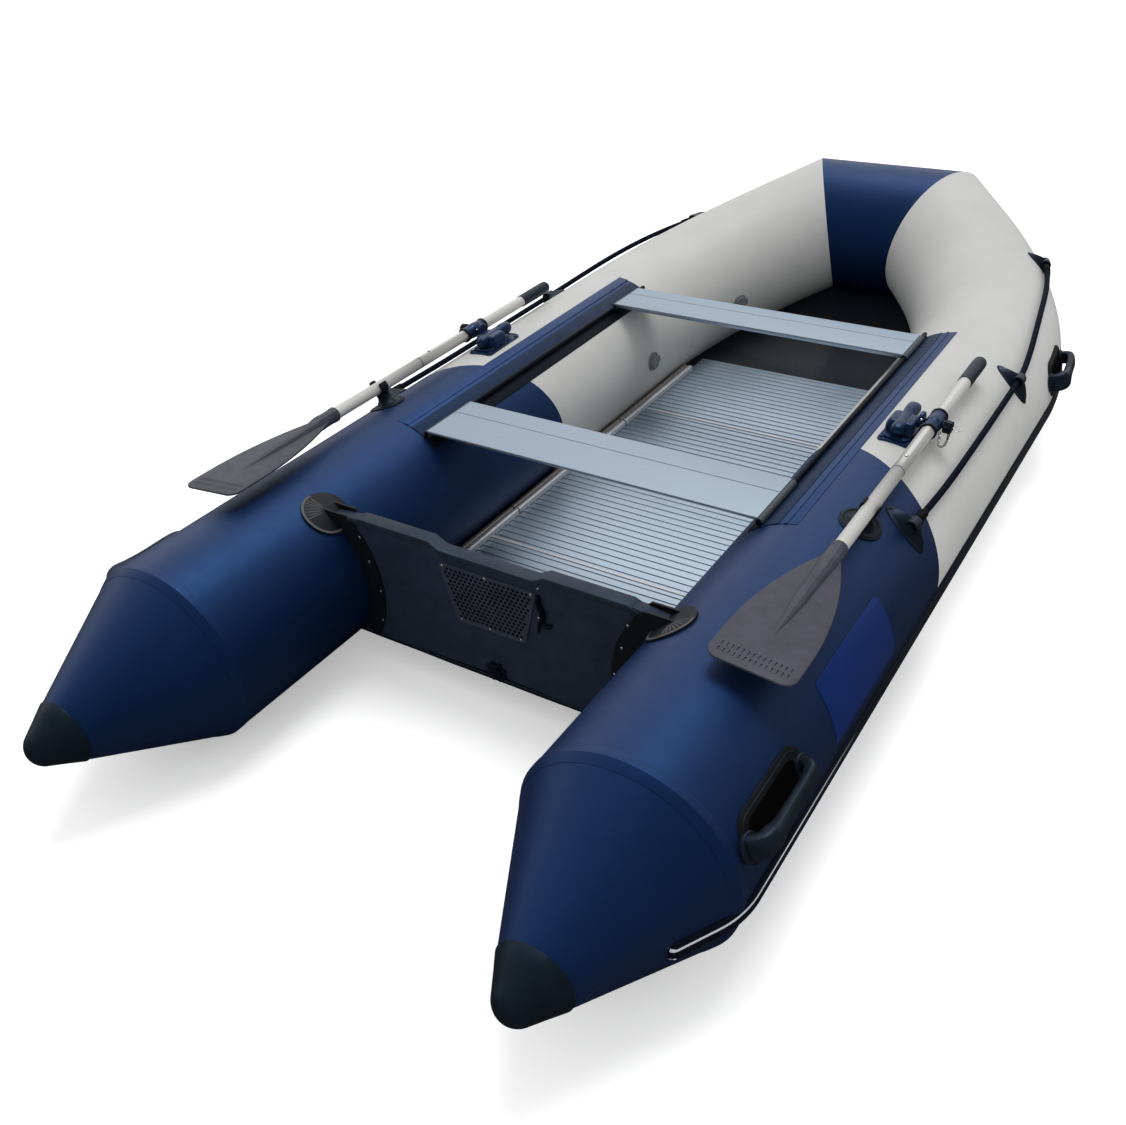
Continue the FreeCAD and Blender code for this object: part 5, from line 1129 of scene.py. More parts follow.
def sternCone():
    line = [(coneHigh.y, 0.0), (coneHigh.y, tubeRadius)]
    for step in range(1, cones["steps"] + 1):
        y = coneHigh.y + (coneLow.y - coneHigh.y) * step / cones["steps"]
        line.append((y, capNeck + coneSlope * (y - coneLow.y)))
    return unwrapTube(coneTurned(line + [(coneLow.y, 0.0)]))


def coneCap():
    lift, rim = cones["capLift"], cones["capRim"]
    line = [(coneLow.y, 0.0), (coneLow.y, capNeck), (coneLow.y, capNeck + lift)]
    line.append((coneLow.y - 0.002, capNeck + lift * 1.2))
    stepY = coneLow.y - cones["capStep"]
    stepRadius = capNeck - coneSlope * cones["capStep"]
    line += [(stepY + rim, stepRadius + lift * 1.1), (stepY - rim, stepRadius + lift * 0.3)]
    lean = math.atan(coneSlope)
    tipY = capLow.y + cones["tip"]
    for step in range(cones["steps"]):
        turn = lean + (math.pi / 2 - lean) * step / cones["steps"]
        line.append((tipY - cones["tip"] * math.sin(turn), cones["tip"] * math.cos(turn)))
    return coneTurned(line + [(capLow.y, 0.0)], 96)


# Tape over the seam between the tube and the cone
def seamBand():
    half, lift, rim = cones["bandWidth"] / 2, cones["bandLift"], cones["bandRim"]
    back, front = coneHigh.y - half, coneHigh.y + half
    line = [(back, tubeRadius - coneSlope * half - rim), (back, tubeRadius - coneSlope * half + lift * 0.6)]
    line += [(back + rim, tubeRadius - coneSlope * (half - rim) + lift), (coneHigh.y, tubeRadius + lift)]
    line += [(front - rim, tubeRadius + lift), (front, tubeRadius + lift * 0.6), (front, tubeRadius - rim)]
    return unwrapTube(coneTurned(line + line[:1]))


sidePieces(
    ("sternCone", sternCone, "hull", navyFabric, "navy_fabric", "stern_cone_", 60),
    ("coneCap", coneCap, "hull", capRubber, "black_rubber", "cone_cap_", 40),
    ("seamBand", seamBand, "hull", navyFabric, "navy_fabric", "", 25),
)
print("stern cones ready")


# Carrying handles


handles = {
    "width": 0.100,
    "thick": 0.003,
    "lift": 0.032,
    "spots": {
        # length ahead of the bend's start, angle, pad length
        "aft": (-1.78273, 22.5, 0.232),
        "bow": (bend["radius"] * rad(5.6), 15.0, 0.184),
    },
}


def handlePad(length):
    bm = block(handles["width"], length, handles["thick"], handles["width"] * 0.42, 0.0012, 8)
    bm.normal_update()
    return rimmed(bm, [(0.007, 0.0), (0.0012, 0.0016), (0.0016, 0.0), (0.0012, -0.0014)])


# Near-black sheet on the pad under the grip: painted shade in the hollow
def handleShadeSheet(length):
    wide = handles["width"]
    return block(wide * 0.62, length * 0.78, handles["thick"] + 0.0008, wide * 0.25, 0.0006, 6)


# Thick grip: a bulging heel aft, a waisted bar and a rounder shoulder in front
def handleGrip(length):
    reach = length / 2
    lift = handles["lift"]
    line = [(-0.90, -0.004), (-0.91, 0.012), (-0.82, 0.028), (-0.66, lift + 0.001), (-0.46, lift + 0.003)]
    line += [(-0.1, lift + 0.002), (0.26, lift + 0.002), (0.56, lift + 0.001), (0.76, lift - 0.004)]
    points = [(0, reach * y, z) for y, z in line + [(0.86, 0.014), (0.87, -0.004)]]
    sizes = [
        (0.0235, 0.013), (0.0225, 0.013), (0.0215, 0.0145), (0.0205, 0.0155),
        (0.0160, 0.0115), (0.0145, 0.0098), (0.0145, 0.0098),
        (0.0155, 0.0105), (0.0165, 0.0115), (0.0165, 0.011), (0.0175, 0.011),
    ]
    bm = limb(points, sizes, (1, 0, 0), 32, 72, 3.0)
    for y, radius in ((-reach * 0.90, 0.026), (reach * 0.87, 0.0215)):
        line = [(0, 0), (radius, 0), (radius, 0.0052), (radius - 0.0014, 0.0068)]
        pour(bm, turned(line + [(radius - 0.005, 0.0076), (0, 0.0076)], 36), moved(0, y, 0.001))
    for edge in (-1, 1):                                     # raised seam along each side of the bar
        seam = [(edge * 0.0142, reach * (-0.45 + 0.1 * step), lift + 0.0035) for step in range(11)]
        pour(bm, limb(seam, [(0.0011, 0.0011)] * 11, (1, 0, 0), 8, 20))
    return bm


for end, (length, angle, long) in handles["spots"].items():
    spot = (length, angle)
    pads = wrapped(sliced(handlePad(long), 0.008), spot)
    # near-black sheets under the grips: painted shade
    wells = wrapped(sliced(handleShadeSheet(long), 0.008), spot)
    grips = bmesh.new()
    if length < 0:
        pour(grips, handleGrip(long), onSide(angle, bendStart + length))
    else:
        pour(grips, wrapped(handleGrip(long), spot))
    for part in (pads, wells, grips):
        bothSides(part)
    piece("handlePads-" + end, pads, "hull", padRubber, ["carry_handles_" + end], 32)
    piece("handleShadeSheets-" + end, wells, "hull", hollowShadeRubber, (), 32)
    piece("handleGrips-" + end, grips, "hull", gripRubber, (), 34)
print("handles ready")


# Rowlocks

rowlocks = {
    "y": -0.050,
    "angle": 84.0,
    "pad": (0.075, 0.150, 0.004),
    "seat": 0.0093,
    "turret": (0.066, 0.064, 0.0285),
    "turretShift": -0.012,
    "lever": (0.0165, -0.052, 0.058),
    "disc": (0.019, 0.010, 0.030, 0.0379),
    "padRims": [(0.0012, 0.0012), (0.0030, 0.0), (0.0014, -0.0016)],
    "plinth": (0.060, 0.106, 0.0090, 0.014, 0.003, 6),
    "boss": [(0, 0), (0.0335, 0), (0.0335, 0.0070), (0.0325, 0.0085), (0.0310, 0.0090), (0, 0.0090)],
    "screws": [(-0.029, 0.058), (0.029, 0.058), (-0.031, -0.064), (0.031, -0.064)],
    "dome": [(0.0042, 0.0), (0.0042, 0.0020), (0.0036, 0.0034), (0.0022, 0.0044), (0, 0.0048)],
    "ribs": (0.030, 0.037, 0.044, 0.051),
}
oars = {
    "reach": 0.064,         # from the spindle's foot to the oar's line
    "rise": 0.0379,
    "collar": 0.020,        # radius
    "knobGap": 0.0015,
    "bore": 0.01505,
    "joint": -0.2468,       # places along the oar, ahead of the spindle
    "grip": 0.230,
    "button": (-0.199, 0.009),
}
knobStart = oars["reach"] + oars["collar"] + oars["knobGap"]
rowlockSpot = (rowlocks["y"] - bendStart, rowlocks["angle"])
rowlockFrame = onSide(rowlocks["angle"], rowlocks["y"])
oarFrame = rowlockFrame @ moved(oars["reach"], 0, oars["rise"])
quarter = {"alongX": spun(90, "Y"), "alongY": spun(-90, "X")}      # turn a part made along Z


# Glued foot with a raised border and the plinth that the head turns on
def rowlockPad():
    wide, long, thick = rowlocks["pad"]
    aft, front = wide / 2, wide / 2 * 0.9
    foot = slab([(-aft, -long / 2), (aft, -long / 2), (front, long / 2), (-front, long / 2)], thick)
    soften(foot, uprights(foot, thick), 0.011, 6)
    foot.normal_update()
    rimmed(foot, rowlocks["padRims"])
    bm = wrapped(sliced(foot, 0.007, (0,)), rowlockSpot)
    pour(bm, block(*rowlocks["plinth"]), rowlockFrame @ moved(0, rowlocks["turretShift"], 0))
    pour(bm, turned(rowlocks["boss"], 56), rowlockFrame)
    for x, y in rowlocks["screws"]:
        pour(bm, turned(rowlocks["dome"], 20), rowlockFrame @ moved(x, y, 0.0016))
    return bm


# Turret, thumb lever, the eye disc that carries the spindle, and its arm
def rowlockHead():
    wide, long, high = rowlocks["turret"]
    seat = rowlocks["seat"]
    bm = place(block(wide, long, high * 0.56, 0.012, 0.0012, 6), moved(0, rowlocks["turretShift"], seat))
    cap = block(wide * 0.965, long * 0.965, high * 0.46, 0.012, 0.0085, 8)
    bmesh.ops.scale(cap, vec=(0.97, 0.97, 1), verts=[vert for vert in cap.verts if vert.co.z > high * 0.2])
    pour(bm, cap, moved(0, rowlocks["turretShift"], seat + high * 0.545))
    radius, aft, front = rowlocks["lever"]
    rise = seat + radius
    line = [(aft - radius * 0.9, -0.001), (aft - radius * 0.6, 0), (aft + 0.006, 0), (-0.02, 0), (0.012, 0)]
    line += [(front - 0.02, 0.0015), (front, 0.001), (front + radius * 0.62, -0.001)]
    points = [(0, y, rise + up) for y, up in line + [(front + radius * 0.93, -0.002)]]
    shares = [(0.75, 0.70), (1, 0.93), (0.93, 0.88), (0.93, 0.88), (1.0, 0.95), (1.02, 0.98), (0.80, 0.74)]
    sizes = [(0.003, 0.003)] + [(radius * wide, radius * high) for wide, high in shares] + [(0.003, 0.003)]
    pour(bm, limb(points, sizes, (1, 0, 0), 36, 60, 2.4))
    turns = [rad(turn) for turn in range(35, 150, 22)]
    for y in rowlocks["ribs"]:                             # on the thumb
        rib = [(radius * 0.95 * math.cos(turn), y, rise + radius * math.sin(turn)) for turn in turns]
        pour(bm, limb(rib, [(0.0011, 0.0011)] * len(rib), (0, 1, 0), 8, 18))
    discRadius, thick, start, lift = rowlocks["disc"]
    spindle = moved(start, 0, lift) @ quarter["alongX"]
    disc = [(0, 0), (discRadius - 0.002, 0), (discRadius, 0.002), (discRadius, thick - 0.002)]
    disc += [(discRadius - 0.002, thick), (discRadius - 0.005, thick)]
    pour(bm, turned(disc + [(discRadius - 0.0058, thick - 0.0012), (0, thick - 0.0012)], 48), spindle)
    arm = [(0.004, -0.002, 0.020), (0.018, -0.002, 0.024), (0.032, 0, 0.031), (0.037, 0, 0.036)]
    sizes = [(0.016, 0.009), (0.015, 0.0085), (0.013, 0.007), (0.010, 0.004)]
    pour(bm, limb(arm, sizes, (0, 1, 0), 24, 20, 2.6))
    pour(bm, bar(0.005, knobStart + 0.015 - start, 0.0006), spindle)
    washer = turned([(0.0052, 0), (0.0115, 0), (0.0115, 0.0012), (0.0052, 0.0012), (0.0052, 0)], 28)
    pour(bm, washer, moved(oars["reach"] - 0.0232, 0, lift) @ quarter["alongX"])
    return place(bm, rowlockFrame)


# Bright heads on the turret and the pale pin beside the disc
def rowlockScrews():
    bm = bmesh.new()
    top = rowlocks["seat"] + rowlocks["turret"][2]
    head = [(0, 0), (0.0046, 0), (0.0046, 0.0006), (0.0036, 0.0017), (0.0016, 0.0022), (0, 0.0022)]
    pour(bm, turned(head, 24), moved(0, rowlocks["turretShift"] - 0.010, top - 0.0008))
    pin = [(0, 0), (0.0032, 0), (0.0032, 0.004), (0.0024, 0.0052), (0, 0.0056)]
    pour(bm, turned(pin, 20), moved(0.0365, -0.0165, 0.0455) @ quarter["alongX"])
    return place(bm, rowlockFrame)


def knobBody():
    line = [(0.0052, 0), (0.0120, 0), (0.0135, 0.0012), (0.0150, 0.0024), (0.0150, 0.0176), (0.0138, 0.0192)]
    line += [(0.0100, 0.0200), (0.0065, 0.0204), (0.0058, 0.0196), (0, 0.0196)]
    bm = fluted(turned(line, 96), 0.0125, 0, 0.020, 12, 0.0016, 1.5)
    return place(bm, rowlockFrame @ moved(knobStart, 0, oars["rise"]) @ quarter["alongX"])


# Wire ring through the knob's end
def knobRing():
    centre = knobStart + 0.0205
    bm = turned([(0.0, 0.0), (0.0026, 0.0), (0.0026, 0.0035), (0.0, 0.0035)], 16)
    place(bm, moved(centre - 0.001, 0, oars["rise"]) @ quarter["alongX"])
    pour(bm, turned(ringLine(0.0082, 0.00075), 32), moved(centre + 0.0092, 0, oars["rise"]))
    return place(bm, rowlockFrame)


tether = {
    "links": 19,
    "link": (0.0028, 0.00080),
    "line": [
        (0.084, -0.018, 0.0285), (0.0880, -0.027, 0.021), (0.0905, -0.036, 0.014), (0.0945, -0.042, 0.0105),
        (0.100, -0.041, 0.0095), (0.1035, -0.034, 0.010), (0.1040, -0.026, 0.0115), (0.1035, -0.019, 0.014),
        (0.1030, -0.013, 0.018), (0.1028, -0.0100, 0.0215), (0.1028, -0.0080, 0.0255),
    ],
}


# Light link chain that lies on the tube between the knob and the collar
def tetherChain():
    bm = bmesh.new()
    line = [Vector(point) for point in tether["line"]]
    for link in range(tether["links"]):
        share = (link + 0.5) / tether["links"]
        ahead = (smoothAlong(line, share + 0.02) - smoothAlong(line, share - 0.02)).normalized()
        ring = turned(ringLine(*tether["link"], 0, 6), 12)
        bmesh.ops.scale(ring, vec=(1.5, 1, 1), verts=ring.verts)
        turn = Vector((1, 0, 0)).rotation_difference(ahead).to_matrix().to_4x4()
        roll = spun(90 if link % 2 else 0, "X")
        pour(bm, ring, Matrix.Translation(smoothAlong(line, share)) @ turn @ roll)
    return place(bm, rowlockFrame)


sidePieces(
    ("rowlockPad", rowlockPad, "hull", rowlockPlastic, "black_plastic", "rowlock_base_", 28),
    ("rowlockHead", rowlockHead, "rowlock_", rowlockPlastic, "black_plastic", "rowlock_swivel_", 34),
    ("rowlockScrews", rowlockScrews, "rowlock_", polishedSteel, "bright_steel", "", 34),
    ("knob", knobBody, "knob_", blackPlastic, "black_plastic", "rowlock_knob_", 34),
    ("knobRing", knobRing, "knob_", polishedSteel, "bright_steel", "", 50),
    ("tetherChain", tetherChain, "rowlock_", polishedSteel, "bright_steel", "", 50),
)
print("rowlocks ready")


# Oars


# Carry a part turned about Z on to the oar's line, from a distance ahead of the spindle
def oarPart(bm, y):
    return place(bm, oarFrame @ moved(0, y, 0) @ quarter["alongY"])


collar = {"aft": 0.047, "front": 0.040, "thin": 0.0182, "rim": 0.0075, "round": 0.0014}


def collarSleeve():
    bore, thin = oars["bore"], collar["thin"]
    line = [(bore, 0.003), (thin, 0.003), (thin, 0.032), (thin + 0.0012, 0.0345), (thin + 0.0016, 0.037)]
    line += [(thin + 0.0016, 0.057), (thin + 0.0012, 0.0595), (thin, 0.062), (thin, 0.084), (bore, 0.084)]
    return oarPart(turned(line + line[:1], 56), -collar["aft"])


def collarRims():
    bm = bmesh.new()
    bore, radius, rim = oars["bore"], oars["collar"], collar["rim"]
    soft = radius - collar["round"]
    for start in (0.0, collar["aft"] + collar["front"] - rim):
        line = [(bore, start), (soft, start), (radius, start + 0.0014), (radius, start + 0.0061)]
        pour(bm, turned(line + [(soft, start + rim), (bore, start + rim), (bore, start)], 56))
    return oarPart(bm, -collar["aft"])


# Fine dark line and lip where the two tubes meet
def shaftJoint():
    line = [(0.0149, 0), (0.01535, 0.0003), (0.01535, 0.0013), (0.0149, 0.0016), (0.0149, 0)]
    return oarPart(turned(line, 48), oars["joint"])


# Ribbed rubber grip with a domed end
def oarGrip():
    line = [(0.0151, 0), (0.0164, 0), (0.0170, 0.0012), (0.0170, 0.0045), (0.0166, 0.0060)]
    line += [(0.0170, 0.0085), (0.0171, 0.030), (0.0171, 0.060), (0.0171, 0.090)]
    line += [(0.0170, 0.1150), (0.0167, 0.1230)]
    for step in range(1, 9):
        turn = rad(90 * step / 8)
        line.append((0.0090 + 0.0077 * math.cos(turn), 0.1235 + 0.0112 * math.sin(turn)))
    line.append((0, 0.1350))
    return oarPart(fluted(turned(line, 120), 0.0160, 0.008, 0.120, 20, 0.00055), oars["grip"])


blade = {
    "socket": (0.019, 0.572, 0.635),
    "shoulder": 0.605,
    "widest": 0.910,
    "end": 0.985,
    "width": 0.164,
    "neck": 0.030,
    "thick": 0.005,
    "corner": 0.025,
    "rim": 0.0018,
    "slots": 13,
    "slotPitch": 0.0098,
    "slotSize": (0.0026, 0.0105, 0.0019),
    "slotRows": (0.945, 0.962),
    "spine": [
        (0.0190, 0.635), (0.0178, 0.650), (0.0150, 0.720), (0.0140, 0.770), (0.0085, 0.830), (0.0030, 0.886),
    ],
}


def bladePlate():
    half, neck = blade["width"] / 2, blade["neck"] / 2
    run = blade["widest"] - blade["shoulder"]
    sweep = (run ** 2 + (half - neck) ** 2) / (2 * (half - neck))
    outline = []
    steps = 22
    turnEnd = math.asin(run / sweep)
    for step in range(steps + 1):
        turn = turnEnd * (1 - step / steps)
        outline.append((half - sweep + sweep * math.cos(turn), -(blade["widest"] - sweep * math.sin(turn))))
    curve = blade["corner"]
    for step in range(9):
        turn = rad(90 * step / 8)
        x, y = half - curve + curve * math.cos(turn), blade["end"] - curve + curve * math.sin(turn)
        outline.append((x, -y))
    full = outline + [(-x, y) for x, y in reversed(outline)]
    bm = slab(full, blade["thick"])
    bmesh.ops.translate(bm, vec=(0, 0, -blade["thick"] / 2), verts=bm.verts)
    rims = [edge for edge in bm.edges if abs(edge.verts[0].co.z - edge.verts[1].co.z) < 1e-6]
    soften(bm, rims, blade["rim"], 2)
    pitch = blade["slotPitch"]
    wide, long, deep = blade["slotSize"]
    columns = []
    for column in range(blade["slots"] + 1):
        centre = (column - blade["slots"] / 2 + 0.5) * pitch - pitch / 2
        columns += [centre - wide / 2, centre + wide / 2]
    rows = []
    for row in blade["slotRows"]:
        rows += [-row - long / 2, -row + long / 2]
    for x in columns:
        scored(bm, (x, 0, 0), (1, 0, 0))
    for y in rows:
        scored(bm, (0, y, 0), (0, 1, 0))
    bm.normal_update()
    wells = []
    for face in bm.faces:
        if abs(face.normal.z) < 0.9:
            continue
        middle = face.calc_center_median()
        inRow = any(abs(middle.y + row) < long / 2 for row in blade["slotRows"])
        inColumn = any(low < middle.x < high for low, high in zip(columns[::2], columns[1::2]))
        if inRow and inColumn:
            wells.append(face)
    for face in bmesh.ops.extrude_discrete_faces(bm, faces=wells)["faces"]:
        bmesh.ops.translate(bm, vec=face.normal * -deep, verts=face.verts)
    return bm


def oarBlade():
    bm = bladePlate()
    radius, start, end = blade["socket"]
    line = [(oars["bore"], -start), (radius - 0.001, -start), (radius, -start - 0.001)]
    line += [(radius, -start - 0.010), (radius - 0.0009, -start - 0.012), (radius - 0.0009, -start - 0.048)]
    line.append((radius, -start - 0.050))
    line += [(reach, -y) for reach, y in blade["spine"]] + [(0, -blade["spine"][-1][1] - 0.002)]
    spine = turned(line, 12)                                   # faceted
    place(spine, spun(-90, "X") @ spun(15, "Z"))
    for vert in spine.verts:
        if vert.co.y < -end:
            vert.co.z *= 0.82
    pour(bm, spine)
    return place(bm, oarFrame)


def snapButton():
    line = [(0, 0), (0.0055, 0), (0.0055, 0.0012), (0.00375, 0.0012), (0.00375, 0.0076), (0.0031, 0.0086)]
    along, lift = oars["button"]
    return place(turned(line + [(0.0016, 0.009), (0, 0.009)], 28), oarFrame @ moved(0, along, lift))


sidePieces(
    ("oarCollar", collarSleeve, "oar_", rowlockPlastic, "black_plastic", "oar_collar_", 34),
    ("collarRims", collarRims, "oar_", blackPlastic, "black_plastic", "", 34),
    ("shaftJoint", shaftJoint, "oar_", blackPlastic, "black_plastic", "", 34),
    ("oarGrip", oarGrip, "oar_", gripRubber, "black_plastic", "oar_grip_", 40),
    ("oarBlade", oarBlade, "oar_", bladePlastic, "charcoal_plastic", "oar_blade_", 24),
    ("snapButton", snapButton, "button_", polishedSteel, "bright_steel", "oar_button_", 34),
)
print("oars ready")


# Oar clips on the tubes

clips = {"behind": 0.405, "disc": 0.047, "inner": 0.0155, "wall": 0.0052, "length": 0.026}


def clipBody():
    stand = oarFrame @ moved(0, -clips["behind"], 0)
    away = Vector((stand.translation.x - tubeOffset, 0, stand.translation.z - tubeRadius))
    angle = math.degrees(math.atan2(away.z, away.x))
    lift = away.length - tubeRadius
    y = stand.translation.y
    wide = clips["disc"]
    line = [(0, 0), (wide, 0), (wide, 0.0018), (wide - 0.0006, 0.0027), (wide - 0.0015, 0.003)]
    line += [(wide - 0.0050, 0.003), (wide - 0.0062, 0.0042), (wide - 0.0084, 0.0042), (wide - 0.0096, 0.003)]
    disc = turned(line + [(wide * 0.5, 0.003), (0, 0.003)], 64)
    bm = wrapped(sliced(disc, 0.007, (0,)), (y - bendStart, angle))
    frameHere = onSide(angle, y)
    reach = lift - clips["inner"] - clips["wall"]
    stem = [(0, 0), (0.030, 0.0015), (0.024, 0.005), (0.0175, reach * 0.55), (0.0160, reach * 0.8)]
    stem += [(0.0170, reach + 0.002), (0, reach + 0.002)]
    pour(bm, turned(stem, 40), frameHere)
    middle = clips["inner"] + clips["wall"] / 2
    points, sizes = [], []
    for turn in range(-215, 35, 25):
        points.append((middle * math.cos(rad(turn)), 0, middle * math.sin(rad(turn))))
        sizes.append((clips["length"] / 2, clips["wall"] / 2))
    points += [(middle * 1.02, 0, 0.0135), (middle * 1.08, 0, 0.0185)]
    sizes += [(clips["length"] * 0.46, clips["wall"] * 0.55), (clips["length"] * 0.30, clips["wall"] * 0.30)]
    pour(bm, limb(points, sizes, (0, 1, 0), 24, 64, 3.2), frameHere @ moved(0, 0, lift))
    return bm


sidePieces(("oarClip", clipBody, "hull", clipRubber, "black_rubber", "oar_clip_", 34))
print("oar clips ready")


# Transom

transomLow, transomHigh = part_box("transom_board")
padLow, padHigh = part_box("motor_pads")
transom = {
    "aftFace": transomLow.y,
    "frontFace": transomHigh.y,
    "padTop": padHigh.z,
    "padHeight": padHigh.z - padLow.z,
    "padWide": (0.250, 0.175),
    "padThick": 0.0030,
    "padRims": [(0.0010, 0.0006), (0.0032, 0.0), (0.0008, -0.0010)],
    "dots": 0.0112,
    "dotSize": 0.0036,
    # share of the pad's half width and of its height
    "padScrews": [(-0.94, 0.055), (-0.02, 0.045), (0.94, 0.055), (-0.90, 0.95), (-0.02, 0.955), (0.90, 0.95)],
    "keeperScrews": [(0.129, 0.3585), (0.125, 0.284)],
    "holderScrews": [(0.338, 0.345), (0.3225, 0.285), (0.3035, 0.212), (0.3130, 0.128)],
}


# Frame on one face of the transom: Z out of it, Y up
def onTransom(x, z, lift=0.0, face="aft"):
    turn = spun(90, "X")
    if face == "aft":
        return moved(x, transom["aftFace"] - lift, z) @ turn
    return moved(x, transom["frontFace"] + lift, z) @ spun(180, "Z") @ turn


# Half width of the pad at a distance below its top
def padHalf(down):
    top, bottom = transom["padWide"]
    return (top + (bottom - top) * down / transom["padHeight"]) / 2


def padPlate():
    high = transom["padHeight"]
    top, bottom = padHalf(0), padHalf(high)
    bm = slab([(-bottom, -high), (bottom, -high), (top, 0), (-top, 0)], transom["padThick"])
    soften(bm, uprights(bm, transom["padThick"]), 0.010, 6)
    bm.normal_update()
    return rimmed(bm, transom["padRims"])


# Staggered holes of the perforated pad, drawn as flat black discs: painted shade in the holes
def padDots():
    bm = bmesh.new()
    pitch = transom["dots"]
    row = 0
    down = 0.0115
    while down < transom["padHeight"] - 0.008:
        half = padHalf(down) - 0.0105
        shift = pitch / 2 if row % 2 else 0.0
        count = int((half * 2) / pitch)
        for column in range(-count // 2 - 1, count // 2 + 2):
            x = column * pitch + shift
            if abs(x) < half:
                spot = moved(x, -down, transom["padThick"] - 0.0003)
                bmesh.ops.create_circle(bm, cap_ends=True, radius=transom["dotSize"], segments=8, matrix=spot)
        row += 1
        down += pitch * 0.86
    return bm


# Domed screw with a cross recess
def screwHead(size=0.0042):
    line = [(0, 0.0012), (size * 0.45, 0.0021), (size * 0.8, 0.0014), (size, 0.0004), (size, -0.0006)]
    bm = turned(line[::-1], 20)
    slot = moved(0, 0, 0.0019) @ Matrix.Diagonal((size * 1.05, size * 0.22, 0.0007, 1))
    for turn in (20, 110):
        bmesh.ops.create_cube(bm, size=1.0, matrix=spun(turn, "Z") @ slot)
    return bm


def buildMotorPads():
    plates, dots, screws = bmesh.new(), bmesh.new(), bmesh.new()
    faces = ("aft", "front")
    for face in faces:
        pour(plates, padPlate(), onTransom(0, transom["padTop"], 0.0, face))
        pour(dots, padDots(), onTransom(0, transom["padTop"], 0.0, face))
    piece("motorPads", plates, "hull", padPlastic, ["motor_pads"], 30)
    piece("padHoles", dots, "hull", holeShadeBlack, (), 30)
    for share, down in transom["padScrews"]:
        drop = transom["padHeight"] * down
        spot = (share * (padHalf(drop) - 0.0035), transom["padTop"] - drop, transom["padThick"] + 0.0004)
        for face in faces:
            pour(screws, screwHead(), onTransom(*spot, face))
    for x, z in transom["keeperScrews"]:
        pour(screws, screwHead(0.0036), onTransom(x, z))
    for x, z in transom["holderScrews"]:
        for side in (-1, 1):
            for face in faces:
                pour(screws, screwHead(0.0038), onTransom(side * x, z, 0.0054, face))
    piece("transomScrews", screws, "hull", screwSteel, (), 34)


keeper = {
    "lift": 0.0042,
    # x, z and half sizes
    "strap": [
        (0.128, 0.345, 0.004, 0.002), (0.130, 0.338, 0.0085, 0.0040), (0.131, 0.322, 0.0085, 0.0042),
        (0.137, 0.307, 0.0095, 0.0046), (0.139, 0.292, 0.0090, 0.0042), (0.131, 0.281, 0.0070, 0.0040),
        (0.128, 0.268, 0.0052, 0.0034), (0.1235, 0.250, 0.002, 0.0015),
    ],
    "hook": [
        (0.130, 0.279, 0.0034, 0.0040), (0.138, 0.276, 0.0034, 0.0040), (0.148, 0.272, 0.0032, 0.0046),
        (0.155, 0.276, 0.003, 0.004), (0.156, 0.282, 0.002, 0.002),
    ],
}


# Hooked rubber keeper at the pad's edge and the cord channel below it
def buildKeeper():
    bm = bmesh.new()
    for part, around, steps, square in (("strap", 20, 48, 2.6), ("hook", 18, 30, 2.4)):
        points = [(x, z, 0) for x, z, _, _ in keeper[part]]
        sizes = [(wide, high) for _, _, wide, high in keeper[part]]
        pour(bm, limb(points, sizes, (0, 0, 1), around, steps, square), onTransom(0, 0, keeper["lift"]))
    piece("transomKeeper", bm, "hull", blackPlastic, (), 34)


trim = {"lip": 0.5, "deep": 0.010, "rim": 0.0022}


# Extruded edge trim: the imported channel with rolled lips
def buildTrim():
    bm = packedCopy("transom_trim")
    bmesh.ops.dissolve_limit(bm, angle_limit=rad(3), verts=bm.verts, edges=bm.edges)
    for vert in bm.verts:                                    # short lips, so that the board shows below them
        crest = max(other.co.z for other in bm.verts if abs(other.co.x - vert.co.x) < 0.004)
        if crest - vert.co.z > trim["deep"]:
            vert.co.z = crest - (crest - vert.co.z) * trim["lip"]
    sharp = [edge for edge in bm.edges if len(edge.link_faces) == 2 and edge.calc_face_angle() > rad(40)]
    soften(bm, sharp, trim["rim"], 3)
    piece("transomTrim", bm, "hull", trimPlastic, ["transom_trim"], 36)


holderDisc = {
    "angle": 125.0,
    "form": (0.108, 0.108, 0.0056, 0.0539, 0.0015, 20),
    "rims": [(0.0035, 0.0), (0.0012, -0.0008)],
    "ribTurn": 11.5,
    # distance from the disc's middle and half sizes
    "rib": [
        (0.012, 0.0006, 0.0003), (0.024, 0.0012, 0.0009), (0.036, 0.0014, 0.0010), (0.0465, 0.0007, 0.0003),
    ],
    "behind": 0.005,
}


# Streaked face of the glued disc that ties each holder to its tube
def holderFace():
    disc = block(*holderDisc["form"])
    disc.normal_update()
    rimmed(disc, holderDisc["rims"])
    ribs = bmesh.new()
    sizes = [size for _, *size in holderDisc["rib"]]
    for step in range(-7, 8):
        turn = rad(step * holderDisc["ribTurn"])
        c, s = math.cos(turn), math.sin(turn)
        points = [(s * reach, c * reach, 0.0049) for reach, _, _ in holderDisc["rib"]]
        pour(ribs, limb(points, sizes, (c, -s, 0), 8, 12))
    pour(disc, ribs, spun(-90, "Z"))
    bm = bmesh.new()
    # the disc's aft half shows; the board hides the rest
    spot = (transomLow.y - holderDisc["behind"] - bendStart, holderDisc["angle"])
    pour(bm, wrapped(sliced(disc, 0.008, (0, 1)), spot))
    cutAway(bm, Vector((0, transomLow.y - 0.0002, 0)), Vector((0, 1, 0)))
    closeEnds(bm)
    return bm


drain = {
    "height": 0.097,
    "reach": 0.0212,
    "turn": 22,
    "lobes": 8,
    "lobe": [(0, 0), (0.0062, 0), (0.0062, 0.0030), (0.0050, 0.0046), (0.0028, 0.0054), (0, 0.0056)],
}


